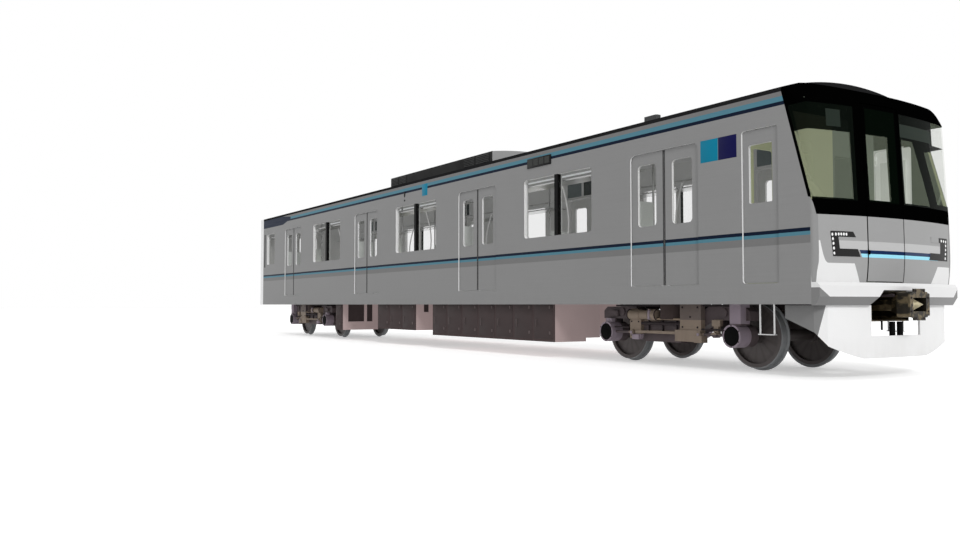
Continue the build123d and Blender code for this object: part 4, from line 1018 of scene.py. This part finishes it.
def dress_roof():
    """Louvred panels and fans of the air conditioner."""
    for side, sign in SIDES:
        slats = []
        for low_x, high_x in ((-2.05, -1.75), (-1.68, -1.35), (1.15, 1.55), (1.62, 2.08)):
            for row in range(5):
                z = 3.60 + row * 0.032
                slats.append(block("slat", (low_x, sign * 0.898, z), (high_x, sign * 0.912, z + 0.018), 0.003,
                                   1))
        fit(join(f"louvres_{side}", slats), "car_body", "air_con_paint", LOUVRE_DARK)
    fan_radius = 0.30
    for number, x in enumerate((-1.35, -0.45, 0.55, 1.45), start=1):
        bars = [hoop(f"fan_ring_{number}", (x, 0, 3.838), fan_radius, 0.02, (40, 8))]
        middle = Vector((x, 0, 3.845))
        for turn in range(6):
            angle = math.radians(30 * turn)
            reach = Vector((math.cos(angle), math.sin(angle), 0)) * fan_radius
            bars.append(rod("bar", middle - reach, middle + reach, 0.006, 8))
        for radius in (0.1, 0.2):
            bars.append(hoop("hoop", middle, radius, 0.005, (32, 6)))
        fit(join(f"fan_grille_{number}", bars), "car_body", "air_con_paint", LOUVRE_DARK)


# Inside
SCREEN_DARK = plain("screen_dark", srgb(48, 54, 56), 0.3, shine=0.1)
# Painted glow on the pale screens, the screen cases and the bent stanchions, which are no lamps
SCREEN_PALE = plain("screen_pale", srgb(96, 104, 106), 0.3, shine=0.1, glow=0.1)
SCREEN_CASE = plain("screen_case", srgb(168, 168, 168), 0.5, glow=0.2)
BENT_STEEL = plain("bent_stanchion_steel", srgb(205, 205, 205), 0.3, 0.3, glow=0.15)


def bend_stanchions():
    """Curved poles in front of the benches, from the seat's edge out over the knees and up to the rail."""
    foot_z, steps, radius = 1.56, 10, 0.0135
    for side, sign in SIDES:
        poles = []
        for middle in WINDOW_XS:
            for x in (middle - 0.55, middle + 0.55):
                spine = [Vector((x, sign * (RAIL_Y + 0.02 - 0.16 * math.sin(math.pi * step / steps)),
                                 foot_z + (RAIL_Z - foot_z) * step / steps)) for step in range(steps + 1)]
                poles += [rod("pole", low, high, radius, 12) for low, high in zip(spine, spine[1:])]
                poles += [ball("ball", joint, radius, (12, 8)) for joint in spine[1:-1]]
        fit(join(f"curved_stanchions_{side}", poles), "car_body", "steel", BENT_STEEL)


def fit_screens():
    """Casings above the doorways inside, each with a pair of blank screens."""
    for side, sign in SIDES:
        wall, face, front = sign * (WALL_IN - 0.001), sign * (WALL_IN - 0.20), sign * (WALL_IN - 0.206)
        cases, darks, pales = [], [], []
        for x in DOOR_XS:
            cases.append(block("case", (x - 0.54, wall, 2.99), (x + 0.54, face, 3.36), 0.02))
            for middle, kind in ((x - 0.26, pales), (x + 0.26, darks)):
                kind.append(block("screen", (middle - 0.225, front, 3.03), (middle + 0.225, face, 3.30),
                                  0.004, 1))
        fit(join(f"door_head_cases_{side}", cases), "car_body", "lining", SCREEN_CASE)
        fit(join(f"door_head_screens_{side}", darks), "car_body", "desk_plastic", SCREEN_DARK)
        fit(join(f"door_head_plates_{side}", pales), "car_body", "desk_plastic", SCREEN_PALE)


# Painted glow on the ceiling panels, which are no lamps
CEILING_WHITE = plain("ceiling_panel", srgb(150, 150, 150), 0.5, glow=0.35)
LIGHT_STRIP = plain("ceiling_light_strip", srgb(225, 228, 230), 0.4, glow=0.45)


def light_ceiling():
    """Ceiling panels below the roof, and the two strips of lights in them."""
    panel = block("ceiling_panel", (-9.70, -1.301, 3.374), (8.56, 1.301, 3.3865), 0.002, 1)
    fit(panel, "car_body", "lining", CEILING_WHITE)
    strip = block("ceiling_lights", (-9.3, 0.54, 3.352), (8.3, 0.60, 3.375), 0.01)
    fit(both_sides(strip), "car_body", "white_paint", LIGHT_STRIP)


# Cab
# Painted glow on the blinds, which are no lamps
CAB_BLIND = plain("cab_blind", CAB_GREEN, 0.7, glow=0.3, shine=0.1)
CAB_BLIND_YELLOW = plain("cab_blind_yellow", CAB_YELLOW, 0.7, glow=0.6, shine=0.1)
CAB_BLIND_WHITE = plain("cab_blind_white", CAB_LIGHT, 0.7, glow=0.5, shine=0.1)
CAB_DARK = plain("cab_console", srgb(30, 32, 33), 0.5, shine=0.2)
CAB_CLOTH = plain("cab_seat_cloth", srgb(70, 78, 70), 0.9, mottle=(0.008, 0.2), grain=(0.003, 0.0004),
                  shine=0.1)


def blind(name, low_y, high_y, x, body, material):
    """Roller blind drawn over a window of the wall behind the driver, with its roller and pull bar."""
    cloth = block("cloth", (x, low_y, 1.955), (x + 0.003, high_y, 2.845), 0.0008, 1)
    roller = rod("roller", (x + 0.016, low_y, 2.852), (x + 0.016, high_y, 2.852), 0.014, 16, 0.002)
    bar = rod("bar", (x + 0.007, low_y, 1.958), (x + 0.007, high_y, 1.958), 0.006, 12, 0.002)
    return fit(join(name, [cloth, roller, bar]), body, "cab_panel", material)


def dress_cab():
    """Drawn blinds of the cab, and the screens, levers and buttons on its desk."""
    blind("bulkhead_blind_left", 0.445, 0.857, BULKHEAD_X, "car_body", CAB_BLIND)
    fit(block("cab_door_blind_left", (8.69, 1.3305, 2.09), (9.064, 1.3345, 2.835), 0.001, 1), "cab_door_left",
        "cab_panel", CAB_BLIND_WHITE)
    blind("bulkhead_door_blind", -0.525, -0.115, BULKHEAD_X, "bulkhead_door", CAB_BLIND_YELLOW)
    consoles = [block("screen", (9.43, y - 0.14, 1.885), (9.47, y + 0.14, 2.06), 0.008) for y in (0.45, 0.80)]
    consoles.append(block("box", (9.34, 1.0, 1.865), (9.47, 1.2, 1.96), 0.01))
    consoles.append(rod("lever", (9.33, 0.95, 1.86), (9.31, 0.95, 1.98), 0.009, 12, 0.003))
    consoles.append(ball("knob", (9.308, 0.95, 1.99), 0.024))
    for number in range(6):
        y = 0.30 + number * 0.06
        consoles.append(rod("button", (9.31, y, 1.84), (9.305, y, 1.858), 0.011, 12, 0.002))
    fit(join("desk_consoles", consoles), "car_body", "desk_plastic", CAB_DARK)


# Soft parts
CLOTH_FRAMES = 20


def stuffed(name, low, high, round_by=0.022, voxel=0.016, cap=0.014):
    """Cushion between two corners: a rounded slab, remeshed and blown up as cloth, moved by cap at most."""
    piece = block(name, low, high, round_by, 3)
    remesh = piece.modifiers.new("remesh", "REMESH")
    remesh.mode = "VOXEL"
    remesh.voxel_size = voxel
    lone(piece)
    bpy.ops.object.modifier_apply(modifier=remesh.name)
    rest = [vertex.co.copy() for vertex in piece.data.vertices]
    cloth = piece.modifiers.new("cloth", "CLOTH")
    cloth.settings.use_pressure = True
    cloth.settings.uniform_pressure_force = 4
    cloth.settings.effector_weights.gravity = 0
    for number in range(1, CLOTH_FRAMES + 1):
        scene.frame_set(number)
    bpy.ops.object.modifier_apply(modifier=cloth.name)
    scene.frame_set(1)
    for vertex, was in zip(piece.data.vertices, rest):
        moved = vertex.co - was
        if moved.length > cap:
            vertex.co = was + moved * (cap / moved.length)
    return piece


def make_benches():
    """Seat places: one seat pad and one back pad, copied along every bench of both sides."""
    pitch, rear_x, rear_pitch = 0.5467, -9.383, 0.553
    half = pitch / 2 - 0.016
    seat = stuffed("seat", (-half, 0.886, 1.497), (half, 1.205, 1.546))
    back = stuffed("back", (-half, 1.216, 1.545), (half, 1.288, 1.932))
    for vertex in back.data.vertices:
        if vertex.co.y < 1.255:
            vertex.co.y += (vertex.co.z - 1.545) * 0.09
    place = join("bench_pads_left", [seat, back])
    places = [middle + step * pitch for middle in WINDOW_XS for step in (-2.5, -1.5, -0.5, 0.5, 1.5, 2.5)]
    places += [rear_x + step * rear_pitch for step in range(3)]
    first = places.pop(0)
    place.location = (first, 0, 0)
    left = repeat(settle(place), [(x - first, 0, 0) for x in places])
    right = mirrored(left)
    right.name = "bench_pads_right"
    for pads in (left, right):
        fit(pads, "car_body", "seat_fabric")
        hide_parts("seat_cushions")


def make_cab_seat():
    """Driver's seat: two pads on a shell, with a pedestal and a foot plate."""
    seat = stuffed("cab_seat_pad", (8.715, 0.372, 1.545), (9.125, 0.728, 1.598), 0.024, 0.012, 0.016)
    back = stuffed("cab_seat_back_pad", (8.712, 0.372, 1.62), (8.762, 0.728, 2.075), 0.022, 0.012, 0.014)
    for pad in (seat, back):
        fit(pad, "car_body", "seat_fabric", CAB_CLOTH)
        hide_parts("cab_seat")
    parts = [block("shell", (8.70, 0.355, 1.525), (9.14, 0.745, 1.545), 0.008),
             block("shell_back", (8.692, 0.355, 1.545), (8.708, 0.745, 2.085), 0.006),
             rod("pedestal", (8.90, 0.55, 1.14), (8.90, 0.55, 1.525), 0.055, 24, 0.004),
             rod("collar", (8.90, 0.55, 1.30), (8.90, 0.55, 1.36), 0.075, 24, 0.006),
             block("foot", (8.80, 0.45, 1.1255), (9.0, 0.65, 1.14), 0.006)]
    stand = fit(join("cab_seat_stand", parts), "car_body", "desk_plastic", CAB_DARK)
    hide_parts("cab_seat")


# Bogies and underfloor
PURE_BLACK = plain("bearing_cover_black", srgb(8, 8, 9), 0.7, shine=0.05)
GEAR_DARK = plain("gear_dark", srgb(52, 45, 47), 0.7, mottle=(0.08, 0.4), grain=(0.01, 0.0003), shine=0.15)
GEAR_TAN = plain("gear_tan", srgb(150, 133, 115), 0.6, mottle=(0.06, 0.3), shine=0.2)
GEAR_LILAC = plain("gear_lilac", srgb(150, 138, 148), 0.55, mottle=(0.06, 0.2), shine=0.25)
# Painted highlight and painted glow on the couplers' cones
CONE_HIGHLIGHT = plain("cone_bright_iron", srgb(196, 186, 156), 0.4, mottle=(0.03, 0.4), glow=0.15)
# Case doors in the painted shade of the cases' long sides
SHADED_CASE_DOOR = plain("case_door", srgb(69, 60, 60), 0.65, mottle=(0.2, 0.2), shine=0.1)
CASE_TRIM = plain("case_trim", srgb(92, 82, 81), 0.6, mottle=(0.1, 0.15), shine=0.15)


def dress_bogie(end, middle):
    """Bearing covers, rods, ribs, bolts and pipes on both sides of one bogie, and its motors."""
    body = f"bogie_{end}"
    way = 1 if middle > 0 else -1

    def at(along):
        return middle + way * along

    covers, dark, tan, lilac = [], [], [], []
    for along in (-WHEELBASE / 2, WHEELBASE / 2):
        covers.append(rod("cover", (at(along), 1.066, AXLE_Z), (at(along), 1.0795, AXLE_Z), 0.125, 32, 0.003))
        for turn in range(6):
            angle = math.radians(60 * turn + 30)
            x, z = at(along) + 0.138 * math.cos(angle), AXLE_Z + 0.138 * math.sin(angle)
            dark.append(rod("bolt", (x, 1.078, z), (x, 1.088, z), 0.009, 6, 0.001))
        for lift in range(5):
            dark.append(hoop("coil", (at(along), 0.86, 0.615 + lift * 0.011), 0.085, 0.009))
        lilac.append(block("lug", (at(along - 0.07), 0.95, 0.60), (at(along + 0.07), 1.03, 0.665), 0.008))
    for along in (-0.42, -0.14, 0.14):
        dark.append(block("rib", (at(along), 0.944, 0.49), (at(along + 0.016), 0.972, 0.652), 0.003, 1))
    for low, high, y, z, radius, kind in (
            (-1.10, 1.15, 0.985, 0.856, 0.012, dark), (-0.52, 0.27, 1.004, 0.60, 0.022, dark),
            (-0.20, 0.26, 1.0, 0.665, 0.016, tan), (0.66, 1.13, 1.012, 0.535, 0.012, dark),
            (-1.13, -0.78, 1.012, 0.535, 0.012, dark)):
        kind.append(rod("pipe", (at(low), y, z), (at(high), y, z), radius, 14, 0.003))
    for along in (-0.78, -0.35, -0.21):
        dark.append(hoop("hoop", (at(along), 0.985, 0.722), 0.078, 0.008, turn=(0, math.pi / 2, 0)))
    for along, z in ((0.32, 0.83), (0.60, 0.83), (0.32, 0.56), (0.60, 0.56), (0.465, 0.70)):
        dark.append(rod("bolt", (at(along), 1.024, z), (at(along), 1.036, z), 0.014, 6, 0.002))
    for along, z in ((-0.74, 0.42), (-0.59, 0.42), (-0.74, 0.62), (-0.59, 0.62)):
        dark.append(rod("bolt", (at(along), 0.999, z), (at(along), 1.010, z), 0.012, 6, 0.002))
    for along, z in ((0.63, 0.465), (-0.70, 0.465)):
        lilac.append(rod("eye", (at(along), 1.044, z), (at(along), 1.062, z), 0.022, 20, 0.004))
    lilac.append(block("clamp", (at(-0.33), 0.90, 0.655), (at(-0.29), 1.075, 0.79), 0.006))
    fit(both_sides(join(f"bearing_covers_{end}", covers)), body, "spring_rubber", PURE_BLACK)
    fit(both_sides(join(f"bogie_fittings_{end}", dark)), body, "bogie_paint", GEAR_DARK)
    fit(both_sides(join(f"bogie_rods_{end}", tan)), body, "bogie_paint", GEAR_TAN)
    fit(both_sides(join(f"bogie_lugs_{end}", lilac)), body, "bogie_paint", GEAR_LILAC)
    motors, motor_z = [], 0.56
    for along in (-0.62, 0.62):
        motors.append(rod("motor", (at(along), -0.32, motor_z), (at(along), 0.32, motor_z), 0.21, 28, 0.02))
        for y in (-0.22, -0.11, 0.0, 0.11, 0.22):
            motors.append(hoop("fin", (at(along), y, motor_z), 0.212, 0.010, turn=(math.pi / 2, 0, 0)))
    fit(join(f"traction_motors_{end}", motors), body, "bogie_paint", GEAR_DARK)


def hang_gear():
    """Trays, ribs and pipes above the bogies, hung from the floor."""
    near, far = 0.42, 1.75
    for end, middle in BOGIES:
        parts = []
        for low, high in ((-far, -near), (near, far)):
            parts.append(block("tray", (middle + low, -0.34, 0.80), (middle + high, 0.34, 1.035), 0.01))
            for step in range(5):
                x = middle + low + 0.12 + step * 0.26
                parts.append(block("rib", (x, -0.352, 0.81), (x + 0.02, 0.352, 1.03), 0.004, 1))
        for y in (-0.42, -0.38, 0.38, 0.42):
            parts.append(rod("pipe", (middle - far, y, 0.985), (middle + far, y, 0.985), 0.013, 12, 0.002))
        fit(join(f"floor_gear_{end}", parts), "car_body", "under_paint", GEAR_DARK)


# Outer faces of the underfloor cases: low X, high X, face Y, low Z
CASE_FACES = (
    (0.60, 4.64, -1.30, 0.262), (-1.95, -0.15, -1.30, 0.335), (-4.374, -3.978, -1.30, 0.25),
    (-4.20, 0.10, 1.30, 0.30), (0.70, 4.30, 1.28, 0.33),
)


def dress_cases():
    """Doors, latches and handles on the outer faces of the underfloor cases."""
    doors, trims = [], []
    door_width, gap, handle_z = 0.62, 0.03, (0.50, 0.62)
    for low_x, high_x, face_y, low_z in CASE_FACES:
        way = 1 if face_y > 0 else -1
        proud = face_y + way * 0.006
        count = max(1, round((high_x - low_x) / door_width))
        width = (high_x - low_x) / count
        for number in range(count):
            left = low_x + number * width + gap
            right = left + width - 2 * gap
            doors.append(block("door", (left, face_y - way * 0.01, low_z + 0.04), (right, proud, 0.905),
                               0.006))
            for z in (low_z + 0.12, 0.80):
                trims.append(block("latch", (right - 0.09, proud, z),
                                   (right - 0.05, proud + way * 0.012, z + 0.05),
                                   0.003, 1))
            x, y = left + 0.08, proud + way * 0.018
            trims.append(rod("handle", (x, y, handle_z[0]), (x, y, handle_z[1]), 0.006, 10, 0.002))
            for z in handle_z:
                trims.append(rod("stud", (x, proud, z), (x, y, z), 0.005, 8))
    fit(join("case_doors", doors), "car_body", "case_paint", SHADED_CASE_DOOR)
    fit(join("case_trims", trims), "car_body", "case_paint", CASE_TRIM)


def dress_couplers():
    """Brackets and a pipe beside the front coupler, and the bolts, hoses and cone of each head."""
    parts = []
    for low_y, high_y in ((-0.045, 0.03), (0.11, 0.19)):
        parts.append(block("bar", (9.66, low_y, 0.48), (9.70, high_y, 0.665), 0.006))
    parts.append(rod("pipe", (9.68, -0.216, 0.566), (9.68, -0.216, 0.68), 0.012, 14, 0.002))
    fit(join("coupler_brackets", parts), "car_body", "coupler_steel", PURE_BLACK)
    slanted = rod("slanted_bar", (9.68, 0.57, 0.505), (9.68, 0.62, 0.70), 0.022, 18, 0.003)
    fit(slanted, "car_body", "coupler_steel", CASE_TRIM)
    bolts, cones = [], []
    for way in (-1, 1):
        cone = start("cone", "cone", vertices=4, radius1=1, radius2=0.05, depth=2, location=(0, 0, 0))
        for vertex in cone.data.vertices:
            tip = vertex.co.z > 0
            x, y, spread = (10.018, 0.085, 0.0) if tip else (9.905, 0.05, 0.075)
            vertex.co = (way * x, y + vertex.co.x * spread, COUPLER_Z + vertex.co.y * spread)
        cones.append(cone)
        face = way * COUPLER_FACE_X
        for y, rise in ((-0.17, 0.08), (-0.17, -0.08), (0.17, 0.08), (0.17, -0.08), (-0.08, 0.16),
                        (0.08, 0.16),
                        (-0.08, -0.16), (0.08, -0.16)):
            z = COUPLER_Z + rise
            bolts.append(rod("bolt", (face - way * 0.002, y, z), (face + way * 0.008, y, z), 0.012, 6, 0.002))
        for y in (-0.19, 0.19):
            bolts.append(rod("hose", (way * 9.30, y, 0.98), (way * 9.83, y, 0.98), 0.02, 14, 0.004))
    fit(join("coupler_bolts", bolts), "car_body", "coupler_steel", GEAR_DARK)
    fit(turn_out(join("coupler_cones", cones)), "car_body", "coupler_steel", CONE_HIGHLIGHT)


# Rear end
RUBBER_RIB = plain("bellows_rubber", srgb(44, 44, 46), 0.8, shine=0.1)
END_STEEL = plain("end_fittings_steel", srgb(176, 176, 176), 0.4, 0.5)


def dress_rear():
    """Bellows round the passage, and grab rails, rain pipes, steps and cable boxes on the end wall."""
    ribs = []
    for number in range(6):
        rear_x = -9.958 + number * 0.033
        front_x = rear_x + 0.016
        for low_y, high_y, low_z, high_z in ((-0.532, -0.50, 1.05, 3.196), (0.50, 0.532, 1.05, 3.196),
                                             (-0.532, 0.532, 3.165, 3.197), (-0.532, 0.532, 1.053, 1.08)):
            ribs.append(block("rib", (rear_x, low_y, low_z), (front_x, high_y, high_z), 0.005, 1))
    fit(join("gangway_bellows", ribs), "car_body", "gangway_rubber", RUBBER_RIB)
    parts, boxes = [], []
    grab_x, rung_x, pipe_x = -9.815, -9.83, -9.792
    for side, sign in SIDES:
        grab_y, pipe_y, box_y, lamp_y = sign * 0.78, sign * 1.08, sign * 0.72, sign * 1.18
        parts.append(rod("grab", (grab_x, grab_y, 1.35), (grab_x, grab_y, 2.35), 0.014, 16, 0.003))
        for z in (1.36, 1.85, 2.34):
            parts.append(rod("stay", (END_WALL_X, grab_y, z), (grab_x, grab_y, z), 0.011, 12))
        parts.append(rod("rain_pipe", (pipe_x, pipe_y, 1.06), (pipe_x, pipe_y, 3.38), 0.02, 16, 0.002))
        for z in (1.2, 1.9, 2.6, 3.2):
            parts.append(block("clip", (-9.80, pipe_y - 0.032, z), (-9.768, pipe_y + 0.032, z + 0.02), 0.003,
                               1))
        boxes.append(block("box", (-9.86, box_y - 0.09, 1.09), (END_WALL_X, box_y + 0.09, 1.27), 0.012))
        boxes.append(rod("socket", (-9.90, box_y, 1.16), (-9.86, box_y, 1.16), 0.045, 20, 0.006))
        boxes.append(block("lamp", (-9.79, lamp_y - 0.05, 2.95), (END_WALL_X, lamp_y + 0.05, 3.07), 0.01))
    for z in (1.30, 1.62, 1.94, 2.26, 2.58, 2.90):
        parts.append(rod("rung", (rung_x, 0.87, z), (rung_x, 1.02, z), 0.011, 14, 0.002))
        for y in (0.875, 1.015):
            parts.append(rod("stay", (END_WALL_X, y, z), (rung_x, y, z), 0.009, 10))
    fit(join("end_wall_rails", parts), "car_body", "steel", END_STEEL)
    fit(join("end_wall_boxes", boxes), "car_body", "desk_plastic", DARK_PANEL)


seal_leaves()
dress_sides()
dress_cab()
make_benches()
make_cab_seat()
for end, middle in BOGIES:
    dress_bogie(end, middle)
hang_gear()
dress_cases()
dress_couplers()
dress_rear()
dress_nose()
dress_roof()
bend_stanchions()
fit_screens()
light_ceiling()


# Floor
def lay_floor():
    """Pale studio floor that takes the car's shadow."""
    bpy.ops.object.select_all(action="DESELECT")
    bpy.ops.mesh.primitive_plane_add(size=300, location=(0, 0, 0))
    floor = bpy.context.object
    floor.name = "studio_floor"
    material = bpy.data.materials.new("studio_floor")
    material.use_nodes = True
    tree = material.node_tree
    shader = tree.nodes["Principled BSDF"]
    shader.inputs["Base Color"].default_value = (0.8, 0.8, 0.8, 1)
    shader.inputs["Roughness"].default_value = 0.9
    glow = tree.nodes.new("ShaderNodeEmission")
    glow.inputs["Strength"].default_value = 0.45
    seen = seen_directly(tree)
    add = tree.nodes.new("ShaderNodeAddShader")
    tree.links.new(shader.outputs[0], add.inputs[0])
    tree.links.new(glow.outputs[0], add.inputs[1])
    mix = tree.nodes.new("ShaderNodeMixShader")
    tree.links.new(seen, mix.inputs[0])
    tree.links.new(shader.outputs[0], mix.inputs[1])
    tree.links.new(add.outputs[0], mix.inputs[2])
    tree.links.new(mix.outputs[0], tree.nodes["Material Output"].inputs["Surface"])
    floor.data.materials.append(material)


lay_floor()
